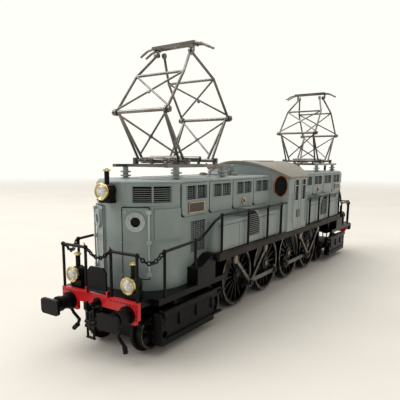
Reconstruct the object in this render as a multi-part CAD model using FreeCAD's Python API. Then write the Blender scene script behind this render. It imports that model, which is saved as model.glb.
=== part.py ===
"""HO scale (1:87) electric locomotive with two spoke-wheeled, rod-driven groups.

Frame: X runs along the track, Z is up, Z = 0 is the bottom of the wheel flanges, and the
origin is under the middle of the cab. "front" is the -X end, "rear" the +X end, "near" is
the -Y side and "far" the +Y side. Millimetres.
"""
import FreeCAD, Part
import math
import os
from FreeCAD import Vector

# ---- driving dimensions -------------------------------------------------------------
running_clear = 0.05        # radial clearance of every pin, axle and stem

beam_face_x = 88.4          # outer face of each buffer beam
beam_thick = 1.0
beam_half_width = 13.26
beam_top_z = 16.15
beam_end_drop = 4.4         # height of the beam at its ends
beam_mid_drop = 3.0         # height of the beam between the ends
beam_end_width = 3.0
beam_shoulder = 2.5         # slope between the deep and the shallow part
beam_pad_drop = 2.2         # how far each buffer's pad reaches below the buffer's axis
beam_pad_half = 2.4

gauge_back = 14.4           # distance between the wheels' backs
wheel_width = 2.8
flange_width = 0.75
flange_depth = 0.9
driver_tread_r = 10.05
driver_gap = 0.7            # between the flanges of neighbouring driving wheels
driver_axle_r = 1.2
driver_spokes = 16
pony_tread_r = 4.7
pony_axle_r = 0.9
pony_spokes = 9
pony_gap = 0.15             # from driver flange to bogie flange, measured along the track
bogie_setback = 9.4         # beam face to the bogie's outer axle

crank_r = 6.35
crank_angle = -32.0         # near side of the front group at rest, degrees from +X
crank_lead = 90.0           # the far side leads the near side by this
pin_r = 0.7
rod_wheel_gap = 0.5         # wheel face to coupling rod
rod_thick = 0.9
rod_gap = 0.3               # between the coupling rod and the drive link
rod_eye_r = 1.5
rod_swing_clear = 0.4
drive_pin_dx = 11.3         # the drive link's upper eyes, each side of its lower eye
drive_pin_dz = 10.35

board_plate = 1.0
board_wheel_clear = 0.4     # driver flange to the underside of the walkway
board_skirt_depth = 2.2
board_skirt = 1.0
board_end_margin = 0.8      # walkway beyond the lockers' ends
board_core_half_width = 5.3  # opening over the motor and its shaft

hood_half_width = 12.4
hood_top_z = 44.2
hood_wall = 0.9
nose_setback = 5.9          # beam face to the tip of the nose
hood_edge_round = 0.7

walkway_width = 4.9         # from the hood's side to the walkway's edge
locker_depth = 3.8
locker_height = 8.7
hump_height = 11.2
locker_end_margin = 3.75    # past the swing of the drive link
locker_cab_gap = 0.325      # locker's inner end to the cab's bow
locker_wall = 0.7

deck_thick = 1.5
deck_inset = 1.6            # deck edge inside the walkway's edge
deck_narrow_length = 4.9    # outside this the deck is only as wide as the beam
deck_overlap = 6.0          # how far the deck reaches in under the walkway

cab_half_length = 9.25
cab_wall = 0.8
cab_bow = 8.7               # how far each end wall bulges outwards
cab_eave_drop = 0.4         # eave below the hood's top
cab_roof_rise = 5.4
cab_roof_thick = 0.7
cab_roof_overhang = 0.45

panto_x = 55.5              # centre of each pantograph
panto_foot = (7.25, 9.05, 5.0)       # each point: distance out, half width, height above the hood
panto_elbow = (15.7, 8.6, 17.8)
panto_waist = (7.5, 8.2, 28.3)
panto_tip = (1.0, 5.8, 35.0)
panto_tube_r = 0.38
panto_shaft_r = 0.5
panto_pin_r = 0.4

buffer_y = 10.05
buffer_drop = 3.4           # buffer axis below the beam's top
buffer_reach = 7.0          # beam face to buffer face
buffer_plate = (6.4, 4.0, 0.8)   # width, height, thickness
buffer_corner_r = 0.9
buffer_stem_r = 1.0
buffer_collar = (1.6, 0.6)  # radius, length
buffer_sleeve_r = 1.75
buffer_travel = 1.1
buffer_stop_gap = 0.2       # left between collar and sleeve at full travel

rail_r = 0.38
rail_height = 11.35         # end rails above the beam
upper_rail_height = 10.8    # side rails above the walkway

# ---- mating sizes -------------------------------------------------------------------
driver_flange_r = driver_tread_r + flange_depth
driver_pitch_half = driver_flange_r + driver_gap / 2
driver_axle_x = (driver_pitch_half, 3 * driver_pitch_half)
pony_flange_r = pony_tread_r + flange_depth
bogie_inner_x = driver_axle_x[1] + driver_flange_r + pony_flange_r + pony_gap
bogie_axle_x = (bogie_inner_x, beam_face_x - bogie_setback)
wheel_back_y = gauge_back / 2
wheel_face_y = wheel_back_y + wheel_width
rod_layer_y = wheel_face_y + rod_wheel_gap
link_swing = crank_r + rod_eye_r + rod_swing_clear
slot_far_x = driver_axle_x[1] + drive_pin_dx + link_swing
board_half_width = hood_half_width + walkway_width
cab_half_width = board_half_width
bow_radius = (cab_bow ** 2 + cab_half_width ** 2) / (2 * cab_bow)
bow_centre = cab_half_length + cab_bow - bow_radius     # X of the upright axis each bow is struck from
bow_x_at_hood = bow_centre + math.sqrt(bow_radius ** 2 - hood_half_width ** 2)
locker_x = (slot_far_x + locker_end_margin, bow_x_at_hood + locker_cab_gap)
board_half_length = locker_x[0] + board_end_margin
board_top_z = 2 * driver_flange_r + board_wheel_clear + board_plate
nose_tip_x = beam_face_x - nose_setback
hood_nose_x = nose_tip_x - hood_half_width   # centre of the half-round nose
deck_half_width = board_half_width - deck_inset
deck_wide_x = beam_face_x - deck_narrow_length
deck_inner_x = board_half_length - deck_overlap
cab_eave_z = hood_top_z - cab_eave_drop
cab_crown_z = cab_eave_z + cab_roof_rise
roof_radius = (cab_half_width ** 2 + cab_roof_rise ** 2) / (2 * cab_roof_rise)
buffer_z = beam_top_z - buffer_drop
buffer_face_x = beam_face_x + buffer_reach
sleeve_length = buffer_reach - buffer_plate[2] - buffer_collar[1] - buffer_travel - buffer_stop_gap
rail_top_z = beam_top_z + rail_height
upper_rail_z = board_top_z + upper_rail_height


def above_hood(point):
    """A pantograph point with its height counted from the track instead of the hood."""
    return (point[0], point[1], hood_top_z + point[2])


panto_base = above_hood(panto_foot)
panto_knee = above_hood(panto_elbow)
panto_mid = above_hood(panto_waist)
panto_top = above_hood(panto_tip)


# ---- small helpers ------------------------------------------------------------------
def block(x0, x1, y0, y1, z0, z1):
    """A box between two corners given in any order."""
    lo = Vector(min(x0, x1), min(y0, y1), min(z0, z1))
    hi = Vector(max(x0, x1), max(y0, y1), max(z0, z1))
    size = hi - lo
    return Part.makeBox(size.x, size.y, size.z, lo)


def tube(start, end, radius):
    """A round bar from start to end."""
    a = Vector(*start)
    b = Vector(*end)
    return Part.makeCylinder(radius, (b - a).Length, a, b - a)


def bar_chain(points, radius):
    """Round bars through points, with a ball at each inner corner."""
    shape = tube(points[0], points[1], radius)
    for a, b in zip(points[1:-1], points[2:]):
        shape = shape.fuse(tube(a, b, radius))
        shape = shape.fuse(Part.makeSphere(radius, Vector(*a)))
    return shape


def prism(outline, z0, z1):
    """A flat outline of (x, y) points raised from z0 to z1."""
    points = [Vector(x, y, z0) for x, y in outline]
    face = Part.Face(Part.makePolygon(points + points[:1]))
    return face.extrude(Vector(0, 0, z1 - z0))


def side_prism(outline, y0, y1):
    """An outline of (x, z) points carried from y0 to y1."""
    points = [Vector(x, y0, z) for x, z in outline]
    face = Part.Face(Part.makePolygon(points + points[:1]))
    return face.extrude(Vector(0, y1 - y0, 0))


def end_prism(outline, x0, x1):
    """An outline of (y, z) points carried from x0 to x1."""
    points = [Vector(x0, y, z) for y, z in outline]
    face = Part.Face(Part.makePolygon(points + points[:1]))
    return face.extrude(Vector(x1 - x0, 0, 0))


def joined(shapes):
    """One solid from overlapping shapes."""
    if len(shapes) == 1:
        return shapes[0]
    return shapes[0].multiFuse(list(shapes[1:])).removeSplitter()


def moved(shape, dx=0.0, dy=0.0, dz=0.0):
    copy = shape.copy()
    copy.translate(Vector(dx, dy, dz))
    return copy


def turned(shape, angle=180.0, centre=(0, 0, 0), axis=(0, 0, 1)):
    copy = shape.copy()
    copy.rotate(Vector(*centre), Vector(*axis), angle)
    return copy


def far_side(shape):
    """The mirror image across the XZ plane."""
    return shape.mirror(Vector(0, 0, 0), Vector(0, 1, 0))


def both_sides(shapes):
    return list(shapes) + [far_side(s) for s in shapes]


def both_ends(shapes):
    return list(shapes) + [turned(s) for s in shapes]


def four(shapes):
    return both_ends(both_sides(shapes))


def write(node, shapes):
    """Export the solids of one node."""
    solids = [solid for shape in shapes for solid in shape.Solids]
    Part.makeCompound(solids).exportStep("parts/" + node + ".step")


# ---- plan outlines ------------------------------------------------------------------
def nose_plan(half_width, inner_x, z0, z1):
    """Hood plan from inner_x out to a half-round nose at the front."""
    radius_point = Vector(-hood_nose_x - half_width, 0, z0)
    a = Vector(-hood_nose_x, -half_width, z0)
    b = Vector(-hood_nose_x, half_width, z0)
    c = Vector(inner_x, half_width, z0)
    d = Vector(inner_x, -half_width, z0)
    edges = [Part.Arc(a, radius_point, b).toShape(), Part.makeLine(b, c),
             Part.makeLine(c, d), Part.makeLine(d, a)]
    return Part.Face(Part.Wire(edges)).extrude(Vector(0, 0, z1 - z0))


def cab_plan(grow, z0, z1):
    """Cab plan: flat sides and bowed ends, grown outwards by grow."""
    side_x = cab_half_length
    side_y = cab_half_width + grow
    tip_x = cab_half_length + cab_bow + grow
    corners = [Vector(-side_x, -side_y, z0), Vector(-side_x, side_y, z0),
               Vector(side_x, side_y, z0), Vector(side_x, -side_y, z0)]
    edges = [Part.Arc(corners[0], Vector(-tip_x, 0, z0), corners[1]).toShape(),
             Part.makeLine(corners[1], corners[2]),
             Part.Arc(corners[2], Vector(tip_x, 0, z0), corners[3]).toShape(),
             Part.makeLine(corners[3], corners[0])]
    return Part.Face(Part.Wire(edges)).extrude(Vector(0, 0, z1 - z0))


def arch(drop, floor_z):
    """Everything from floor_z up to the roof arch lowered by drop."""
    reach = cab_half_length + cab_bow + 5.0
    drum = Part.makeCylinder(roof_radius - drop, 2 * reach, Vector(-reach, 0, cab_crown_z - roof_radius),
                             Vector(1, 0, 0))
    half = cab_half_width + 2.0
    return drum.common(block(-reach, reach, -half, half, floor_z, cab_crown_z + 1.0))


# ---- frame, decks and board ---------------------------------------------------------
deck_top_z = beam_top_z
deck_low_z = beam_top_z - deck_thick
deck_end_x = beam_face_x - beam_thick
board_low_z = board_top_z - board_plate
driver_axle_z = driver_flange_r
pony_axle_z = pony_flange_r
frame_plate_out = wheel_back_y - 0.6
frame_plate_in = frame_plate_out - 1.2
frame_end_x = driver_axle_x[1] + 10.4
frame_low_z = driver_axle_z - 3.35
spine_top_z = deck_top_z + 2.6
spine_end_x = nose_tip_x - hood_wall - 3.8
bogie_pivot_x = sum(bogie_axle_x) / 2
king_pin_r = 1.6
king_pin_low_z = pony_axle_z + 2.8
drive_shaft_z = driver_axle_z + 7.05


def build_main_frame():
    """Two side plates with axle holes, joined by stretchers and carried out under the hoods."""
    plate = block(-frame_end_x, frame_end_x, -frame_plate_out, -frame_plate_in,
                  frame_low_z, board_low_z)
    hole_r = driver_axle_r + running_clear
    for x in driver_axle_x:
        for sign in (-1, 1):
            plate = plate.cut(tube((sign * x, -8, driver_axle_z), (sign * x, -4, driver_axle_z), hole_r))
    plates = both_sides([plate])
    stretchers = []
    for x in (-frame_end_x + 1.0, 0.0, frame_end_x - 1.0):
        stretchers.append(block(x - 1.0, x + 1.0, -frame_plate_in, frame_plate_in,
                                frame_low_z, frame_low_z + 2.5))
    spine = block(-frame_end_x, -spine_end_x, -frame_plate_out, frame_plate_out,
                  deck_top_z, spine_top_z)
    web = block(-frame_end_x, -frame_end_x + 2.0, -frame_plate_out, frame_plate_out,
                frame_low_z, spine_top_z)
    web = web.cut(tube((-frame_end_x - 1, 0, drive_shaft_z), (-frame_end_x + 3, 0, drive_shaft_z), 2.0))
    pin = tube((-bogie_pivot_x, 0, deck_top_z + 1.0), (-bogie_pivot_x, 0, king_pin_low_z), king_pin_r)
    ends = both_ends([spine, web, pin])
    return [joined(plates + stretchers + ends)]


drive_link_in = rod_layer_y + rod_thick + rod_gap
drive_link_out = drive_link_in + rod_thick
crank_slot_in_y = rod_layer_y - rod_swing_clear
crank_slot_out_y = drive_link_out + 0.9
slot_low_x = -slot_far_x
slot_high_x = -(driver_axle_x[1] - drive_pin_dx - link_swing)
link_top_z = driver_axle_z + drive_pin_dz + link_swing


def crank_slot(z0, z1, y0=crank_slot_in_y, y1=crank_slot_out_y):
    """Room for the drive links of one side of the front group."""
    return block(slot_low_x, slot_high_x, -y0, -y1, z0, z1)


def build_running_board():
    """The walkway plate round the body, with a skirt and slots for the drive links."""
    plate = block(-board_half_length, board_half_length, -board_half_width, board_half_width,
                  board_low_z, board_top_z)
    core = frame_end_x - 2.5
    plate = plate.cut(block(-core, core, -board_core_half_width, board_core_half_width,
                            board_low_z - 1, board_top_z + 1))
    for slot in four([crank_slot(board_low_z - 1, board_top_z + 1)]):
        plate = plate.cut(slot)
    skirt = block(-board_half_length, board_half_length, -board_half_width,
                  -board_half_width + board_skirt, board_top_z - board_skirt_depth, board_low_z + 0.2)
    return [joined([plate] + both_sides([skirt]))]


def build_end_decks():
    """Low platforms at the ends, with a sloping step up to the walkway on each side."""
    deck = block(-deck_end_x, -deck_inner_x, -beam_half_width, beam_half_width, deck_low_z, deck_top_z)
    wide = block(-deck_wide_x, -deck_inner_x, -deck_half_width, deck_half_width, deck_low_z, deck_top_z)
    deck = deck.fuse(wide)
    pin_hole = tube((-bogie_pivot_x, 0, deck_low_z - 1), (-bogie_pivot_x, 0, deck_top_z + 1), king_pin_r)
    deck = deck.cut(pin_hole)
    top = board_top_z - board_skirt_depth
    foot_x = board_half_length + 9.0
    step = side_prism([(-foot_x, deck_top_z - 0.2), (-foot_x, top - 0.4), (-foot_x + 1.8, top - 0.4),
                       (-board_half_length - 1.5, board_top_z), (-board_half_length, board_top_z),
                       (-board_half_length, deck_top_z - 0.2)],
                      -hood_half_width, -board_half_width + 1.4)
    return both_ends([joined([deck] + both_sides([step]))])


def build_buffer_beams():
    """Red end beams, deeper at their ends than in the middle."""
    w = beam_half_width
    z = beam_top_z
    outline = [(-w, z), (w, z), (w, z - beam_end_drop), (w - beam_end_width, z - beam_end_drop),
               (w - beam_end_width - beam_shoulder, z - beam_mid_drop),
               (-w + beam_end_width + beam_shoulder, z - beam_mid_drop),
               (-w + beam_end_width, z - beam_end_drop), (-w, z - beam_end_drop)]
    beam = end_prism(outline, -beam_face_x, -deck_end_x)
    pads = []
    for y in (-buffer_y, buffer_y):
        pads.append(block(-beam_face_x, -deck_end_x, y - beam_pad_half, y + beam_pad_half,
                          buffer_z - beam_pad_drop, z - 1.0))
    beam = joined([beam] + pads)
    for y in (-buffer_y, buffer_y):
        beam = beam.cut(tube((-beam_face_x - 1, y, buffer_z), (-deck_end_x + 1, y, buffer_z),
                             buffer_stem_r + running_clear))
    beam = beam.cut(tube((-beam_face_x - 1, 0, hook_z), (-deck_end_x + 1, 0, hook_z), hook_shank_r + 0.02))
    ear_y = gangway_half_width + 0.25
    ear = block(-beam_face_x - 0.5, -beam_face_x + 0.6, -ear_y, -ear_y - 0.4, z - 0.3, gangway_pivot_z + 0.6)
    beam = joined([beam] + both_sides([ear]))
    beam = beam.cut(tube((-beam_face_x, -w, gangway_pivot_z), (-beam_face_x, w, gangway_pivot_z),
                         gangway_pin_r + running_clear))
    return both_ends([beam])


# ---- buffers, couplings and gangway plates ------------------------------------------
hook_z = beam_top_z - 2.2
hook_eye = (beam_face_x + 2.6, -0.5)     # distance out and height of the coupling's pivot from the shank
hook_shank_r = 0.58
hook_half_thick = 0.45
coupling_pin_r = 0.34
coupling_bar_r = 0.5
coupling_wire_r = 0.32
coupling_half_gauge = 1.1
stem_tail = 2.0


def build_buffer_housings():
    """Stepped sleeves bolted to the beams."""
    shapes = []
    for y in (-buffer_y, buffer_y):
        flange = tube((-beam_face_x, y, buffer_z), (-beam_face_x - 0.7, y, buffer_z), 2.3)
        sleeve = tube((-beam_face_x - 0.5, y, buffer_z), (-beam_face_x - sleeve_length, y, buffer_z),
                      buffer_sleeve_r)
        lip = tube((-beam_face_x - sleeve_length + 0.8, y, buffer_z),
                   (-beam_face_x - sleeve_length, y, buffer_z), buffer_sleeve_r + 0.25)
        bore = tube((-beam_face_x + 1, y, buffer_z), (-beam_face_x - sleeve_length - 1, y, buffer_z),
                    buffer_stem_r + running_clear)
        shapes.append(joined([flange, sleeve, lip]).cut(bore))
    return both_ends(shapes)


def build_buffer_head(y):
    """Rounded rectangular plate on a sprung stem, for the front end."""
    width, height, thick = buffer_plate
    plate = block(-buffer_face_x, -buffer_face_x + thick, y - width / 2, y + width / 2,
                  buffer_z - height / 2, buffer_z + height / 2)
    corners = [e for e in plate.Edges if abs(e.tangentAt(e.FirstParameter).x) > 0.9]
    plate = plate.makeFillet(buffer_corner_r, corners)
    collar_r, collar_length = buffer_collar
    collar = tube((-buffer_face_x + thick, y, buffer_z), (-buffer_face_x + thick + collar_length, y, buffer_z),
                  collar_r)
    stem = tube((-buffer_face_x + 0.3, y, buffer_z), (-deck_end_x + stem_tail, y, buffer_z), buffer_stem_r)
    return [joined([plate, collar, stem])]


def build_coupling():
    """Screw coupling hanging from its hook's eye, front end: link, screw, link."""
    x = -hook_eye[0]
    links = []
    for low, high in ((hook_z - 4.3, hook_z - 0.3), (hook_z - 8.4, hook_z - 5.3)):
        for y in (-coupling_half_gauge, coupling_half_gauge):
            links.append(tube((x, y, high), (x, y, low), coupling_wire_r))
    links.append(tube((x, -1.4, hook_z + hook_eye[1]), (x, 1.4, hook_z + hook_eye[1]), coupling_pin_r))
    links.append(tube((x, -1.7, hook_z - 4.4), (x, 1.7, hook_z - 4.4), coupling_bar_r))
    links.append(tube((x, -1.7, hook_z - 5.5), (x, 1.7, hook_z - 5.5), coupling_bar_r))
    links.append(tube((x, 0, hook_z - 3.6), (x, 0, hook_z - 6.1), 0.55))
    links.append(tube((x, -1.4, hook_z - 8.4), (x, 1.4, hook_z - 8.4), coupling_pin_r))
    return [joined(links)]


gangway_pivot_z = beam_top_z + 0.75
gangway_half_width = 3.2
gangway_pin_r = 0.35


def build_coupling_hooks():
    """Draw hooks whose shanks pass through the beams."""
    x = -beam_face_x
    shank = tube((-deck_end_x + 1.2, 0, hook_z), (x - 2.0, 0, hook_z), hook_shank_r)
    boss = tube((x, 0, hook_z), (x - 0.5, 0, hook_z), 1.3)
    hook = side_prism([(x - 1.2, hook_z - 0.5), (x - 3.4, hook_z - 1.5), (x - 4.3, hook_z - 0.6),
                       (x - 4.3, hook_z + 1.2), (x - 3.5, hook_z + 1.4), (x - 3.3, hook_z - 0.05),
                       (x - 1.2, hook_z + 0.5)], -hook_half_thick, hook_half_thick)
    eye_z = hook_z + hook_eye[1]
    hole = tube((-hook_eye[0], -2, eye_z), (-hook_eye[0], 2, eye_z), coupling_pin_r + running_clear)
    return both_ends([joined([shank, boss, hook]).cut(hole)])


def build_gangway():
    """Fall plate stored upright on the front beam, with its hinge barrel."""
    x = -beam_face_x
    low = gangway_pivot_z
    w = gangway_half_width
    plate = end_prism([(-w, low), (w, low), (w, low + 5.0), (w - 1.0, low + 6.2), (1.0 - w, low + 6.2),
                       (-w, low + 5.0)], x - 0.25, x + 0.3)
    barrel = tube((x, -w - 0.7, low), (x, w + 0.7, low), gangway_pin_r)
    return [joined([plate, barrel])]


# ---- hoods --------------------------------------------------------------------------
panel_edges_x = (70.3, 56.8, 43.2, 29.2, 16.9)
panel_low_z = board_top_z + hump_height + 0.1
panel_top_z = hood_top_z - 0.9
panel_gap = 0.5
panel_thick = 0.45
window_low_z = hood_top_z - 5.3
window_top_z = hood_top_z - 1.5
window_inset = 1.3
window_width = 9.8
window_shift = 0.45         # windows stand this much towards the cab in their panels
grille_x = (65.6, 58.3)
grille_z = (board_top_z + 1.0, board_top_z + 9.7)
door_angle = 30.5
door_half_width = 3.5
door_z = (deck_top_z + 3.15, hood_top_z - 6.6)
door_inner_r = hood_half_width - 0.55
door_outer_r = hood_half_width + 0.1
porthole_z = hood_top_z - 10.2
porthole_hole_r = 1.3
porthole_ring_r = 2.4
nose_window_angles = (27.5, 73.0)   # nose louvres, degrees round from -X
nose_window_z = (hood_top_z - 5.4, hood_top_z - 1.4)
nose_frame_angles = (20.5, 86.5)    # raised frame round the nose louvres
nose_frame_z = (hood_top_z - 6.2, hood_top_z - 0.8)
nose_frame_thick = 0.3
corner_panel_angles = (52.0, 88.5)  # raised panel beside each door
corner_panel_z = (hood_top_z - 14.8, hood_top_z - 7.1)
hood_low_z = deck_top_z
hood_step_x = board_half_length + 0.2


def at_nose(shape, angle):
    """Turn a shape built against the nose's tip round the nose by angle, towards the near side."""
    return turned(shape, angle, (-hood_nose_x, 0, 0))


def door_slab(r0, r1, half_width, z0, z1):
    return block(-hood_nose_x - r0, -hood_nose_x - r1, -half_width, half_width, z0, z1)


def side_windows():
    """(x low, x high) of the four window openings of the front hood's side."""
    spans = []
    for outer, inner in zip(panel_edges_x[:-1], panel_edges_x[1:]):
        centre = window_shift - (outer + inner) / 2
        half = min(window_width, outer - inner - 2 * window_inset) / 2
        spans.append((centre - half, centre + half))
    return spans


def build_hood():
    """Thin-walled hood with its nose at the front, open at the bottom, cut for its openings."""
    inner_x = -cab_half_length
    outer = nose_plan(hood_half_width, inner_x, hood_low_z, hood_top_z)
    rim = [e for e in outer.Edges
           if abs(e.BoundBox.ZMin - hood_top_z) < 1e-6 and e.BoundBox.XMin < inner_x - 1]
    outer = outer.makeFillet(hood_edge_round, rim)
    core = nose_plan(hood_half_width - hood_wall, inner_x + 1, hood_low_z - 1, hood_top_z - hood_wall)
    hood = outer.cut(core)
    far = board_half_width + 5
    hood = hood.cut(block(-hood_step_x, 0, -far, far, hood_low_z - 1, board_top_z))
    hood = hood.cut(cab_plan(0.0, hood_low_z - 2, hood_top_z + 5))
    for slot in both_sides([crank_slot(board_top_z - 1, link_top_z, hood_half_width - 2, hood_half_width + 1)]):
        hood = hood.cut(slot)
    for low, high in side_windows():
        cutter = block(low, high, -hood_half_width - 1, hood_half_width + 1, window_low_z, window_top_z)
        hood = hood.cut(cutter)
    hood = hood.cut(block(-grille_x[0], -grille_x[1], -hood_half_width - 1, hood_half_width + 1, *grille_z))
    for sign in (-1, 1):
        recess = door_slab(door_inner_r, door_outer_r + 2, door_half_width + 0.1, door_z[0] - 0.1, door_z[1] + 0.1)
        hole = tube((-hood_nose_x - 9, 0, porthole_z), (-hood_nose_x - 15, 0, porthole_z), porthole_hole_r)
        for cutter in (recess, hole):
            hood = hood.cut(at_nose(cutter, sign * door_angle))
        hood = hood.cut(nose_band(sign, hood_half_width - 2, hood_half_width + 2, nose_window_z, nose_window_angles))
    return hood


def nose_band(sign, r0, r1, z_range, angles):
    """A sector of a ring round the nose's centre, angles measured from the tip towards one side."""
    a0, a1 = angles
    ring = Part.makeCylinder(r1, z_range[1] - z_range[0], Vector(-hood_nose_x, 0, z_range[0]),
                             Vector(0, 0, 1), a1 - a0)
    ring = ring.cut(Part.makeCylinder(r0, z_range[1] - z_range[0] + 2, Vector(-hood_nose_x, 0, z_range[0] - 1)))
    start = 180.0 + a0 if sign > 0 else 180.0 - a1
    return turned(ring, start, (-hood_nose_x, 0, 0))


def build_nose_doors():
    """Two flat doors let into the nose."""
    door = door_slab(door_inner_r, door_outer_r, door_half_width, *door_z)
    door = door.cut(tube((-hood_nose_x - 9, 0, porthole_z), (-hood_nose_x - 15, 0, porthole_z), porthole_hole_r))
    return both_ends([at_nose(door, angle) for angle in (door_angle, -door_angle)])


hinge_rod_z = (door_z[0] + 0.9, door_z[1] - 0.6)
hinge_z = (door_z[0] + 1.4, (door_z[0] + door_z[1]) / 2 + 0.45, door_z[1] - 1.1)


def build_door_fittings():
    """Per door: a bolted porthole ring, three hinges on a vertical rod, and a knob."""
    shapes = []
    for side in (1, -1):
        ring = tube((-hood_nose_x - door_outer_r, 0, porthole_z),
                    (-hood_nose_x - door_outer_r - 0.6, 0, porthole_z), porthole_ring_r)
        ring = ring.cut(tube((-hood_nose_x - door_outer_r + 1, 0, porthole_z),
                             (-hood_nose_x - door_outer_r - 2, 0, porthole_z), porthole_hole_r))
        rod_y = -side * (door_half_width - 0.1)
        rod_x = -hood_nose_x - door_outer_r - 0.45
        hinges = [tube((rod_x, rod_y, hinge_rod_z[0]), (rod_x, rod_y, hinge_rod_z[1]), 0.25)]
        for z in hinge_z:
            hinges.append(block(-hood_nose_x - door_outer_r, rod_x - 0.3, rod_y - 0.6, rod_y + 0.6,
                                z - 0.45, z + 0.45))
        knob = tube((-hood_nose_x - door_outer_r, side * 2.6, door_z[1] - 1.1),
                    (-hood_nose_x - door_outer_r - 0.45, side * 2.6, door_z[1] - 1.1), 0.3)
        for shape in (ring, joined(hinges), knob):
            shapes.append(at_nose(shape, side * door_angle))
    return both_ends(shapes)


def build_raised_panels():
    """Thin raised panels with rounded lower corners on the hood sides, cut for their windows."""
    shapes = []
    for (outer, inner), (low, high) in zip(zip(panel_edges_x[:-1], panel_edges_x[1:]), side_windows()):
        panel = block(-outer + panel_gap / 2, -inner - panel_gap / 2, -hood_half_width,
                      -hood_half_width - panel_thick, panel_low_z, panel_top_z)
        corners = [e for e in panel.Edges
                   if abs(e.tangentAt(e.FirstParameter).y) > 0.9 and e.BoundBox.ZMax < panel_low_z + 0.1]
        panel = panel.makeFillet(1.6, corners)
        window = block(low, high, -hood_half_width - 2, -hood_half_width + 1, window_low_z, window_top_z)
        shapes.append(panel.cut(window))
    r = hood_half_width
    frame = nose_band(1, r, r + nose_frame_thick, nose_frame_z, nose_frame_angles)
    shapes.append(frame.cut(nose_band(1, r - 1, r + 1, nose_window_z, nose_window_angles)))
    shapes.append(nose_band(1, r, r + nose_frame_thick, corner_panel_z, corner_panel_angles))
    return four(shapes)


louvre_thick = 0.4
louvre_depth = 0.45         # how far a louvre lies inside the hood's skin


def build_louvres():
    """Louvre plates: side windows, low grilles and the two openings round each nose shoulder."""
    y = -hood_half_width + louvre_depth
    shapes = []
    for low, high in side_windows():
        shapes.append(block(low, high, y, y + louvre_thick, window_low_z, window_top_z))
    shapes.append(block(-grille_x[0], -grille_x[1], y, y + louvre_thick, *grille_z))
    r = hood_half_width - louvre_depth
    shapes.append(nose_band(1, r - louvre_thick, r, nose_window_z, nose_window_angles))
    return four(shapes)


# ---- cab ----------------------------------------------------------------------------
round_window_half = (2.45, 3.65)
round_window_rim = 0.35
round_window_reach = 3.37    # along the bow, from the cab's corner to the window's centre
round_window_clear = 0.18    # from the rim's top to the roof's underside
round_window_angle = math.degrees(math.asin(cab_half_width / bow_radius) - round_window_reach / bow_radius)
round_window_y = bow_radius * math.sin(math.radians(round_window_angle))
roof_under_z = cab_crown_z - roof_radius + math.sqrt((roof_radius - cab_roof_thick) ** 2 - round_window_y ** 2)
round_window_z = roof_under_z - round_window_clear - round_window_rim - round_window_half[1]
cab_window_z = (cab_eave_z - 9.3, cab_eave_z - 1.4)
cab_window_x = ((-3.3, 0.1), (4.0, 7.4))


def bow_oval(grow, reach):
    """An oval bar through the bow window, square to the bow."""
    angle = 180.0 + round_window_angle
    disc = Part.Ellipse(Vector(0, 0, 0), round_window_half[1] + grow, round_window_half[0] + grow)
    face = Part.Face(Part.Wire(disc.toShape()))
    bar = face.extrude(Vector(0, 0, reach))
    bar.rotate(Vector(0, 0, 0), Vector(0, 1, 0), 90)
    bar.rotate(Vector(0, 0, 0), Vector(0, 0, 1), angle)
    away = Vector(math.cos(math.radians(angle)), math.sin(math.radians(angle)), 0)
    bar.translate(Vector(-bow_centre, 0, round_window_z) + away * (bow_radius - reach / 2))
    return bar


def four_bow_ovals(grow, reach):
    return four([bow_oval(grow, reach)])


def build_cab_body():
    """Cab shell with bowed ends, closed above by the roof and open below."""
    shell = cab_plan(0.0, board_top_z, cab_crown_z + 1)
    inner = cab_plan(-cab_wall, board_top_z - 1, cab_crown_z + 2)
    inner = inner.common(block(-99, 99, -cab_half_width + cab_wall, cab_half_width - cab_wall, 0, 99))
    shell = shell.cut(inner).common(arch(cab_roof_thick, board_top_z - 1))
    for oval in four_bow_ovals(0.0, 4.0):
        shell = shell.cut(oval)
    for low, high in cab_window_x:
        shell = shell.cut(block(low, high, -cab_half_width - 1, cab_half_width + 1, *cab_window_z))
    return [shell.common(cab_plan(5.0, board_top_z - 1, cab_crown_z))]


def build_cab_roof():
    """Arched roof sheet with a small overhang and a flat hatch on its crown."""
    slab = cab_plan(cab_roof_overhang, cab_eave_z - 2, cab_crown_z + 2)
    reach = cab_half_length + cab_bow + 4
    roof = slab.common(arch(0.0, cab_eave_z - 1.0)).cut(arch(cab_roof_thick, cab_eave_z - 4.0))
    lip = block(-reach, reach, -cab_half_width, cab_half_width, cab_eave_z - 3, cab_eave_z - cab_roof_thick)
    roof = roof.cut(lip)
    hatch = block(-6.0, 6.0, -4.0, 4.0, cab_crown_z - 0.6, cab_crown_z + 0.1)
    return [joined([roof, hatch.cut(arch(cab_roof_thick * 0.7, cab_eave_z))])]


def build_window_rims():
    """Thin oval rings round the four bow windows."""
    wall = cab_plan(0.25, board_top_z, cab_eave_z + 3).cut(cab_plan(0.0, board_top_z - 1, cab_eave_z + 4))
    rims = []
    for ring, hole in zip(four_bow_ovals(round_window_rim, 4.0), four_bow_ovals(0.0, 6.0)):
        rims += wall.common(ring.cut(hole)).Solids
    return rims


def build_window_glass():
    """Glazing set in the wall openings: bow windows, cab side windows and portholes."""
    pane_wall = cab_plan(-0.25, board_top_z, cab_eave_z + 3).cut(cab_plan(-0.55, board_top_z - 1, cab_eave_z + 4))
    panes = []
    for oval in four_bow_ovals(0.0, 4.0):
        panes += pane_wall.common(oval).Solids
    for low, high in cab_window_x:
        pane = block(low, high, -cab_half_width + 0.25, -cab_half_width + 0.55, *cab_window_z)
        panes += both_sides([pane])
    port = tube((-hood_nose_x - door_inner_r + 0.1, 0, porthole_z),
                (-hood_nose_x - door_inner_r - 0.25, 0, porthole_z), porthole_hole_r)
    panes += both_ends([at_nose(port, angle) for angle in (door_angle, -door_angle)])
    return panes


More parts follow.
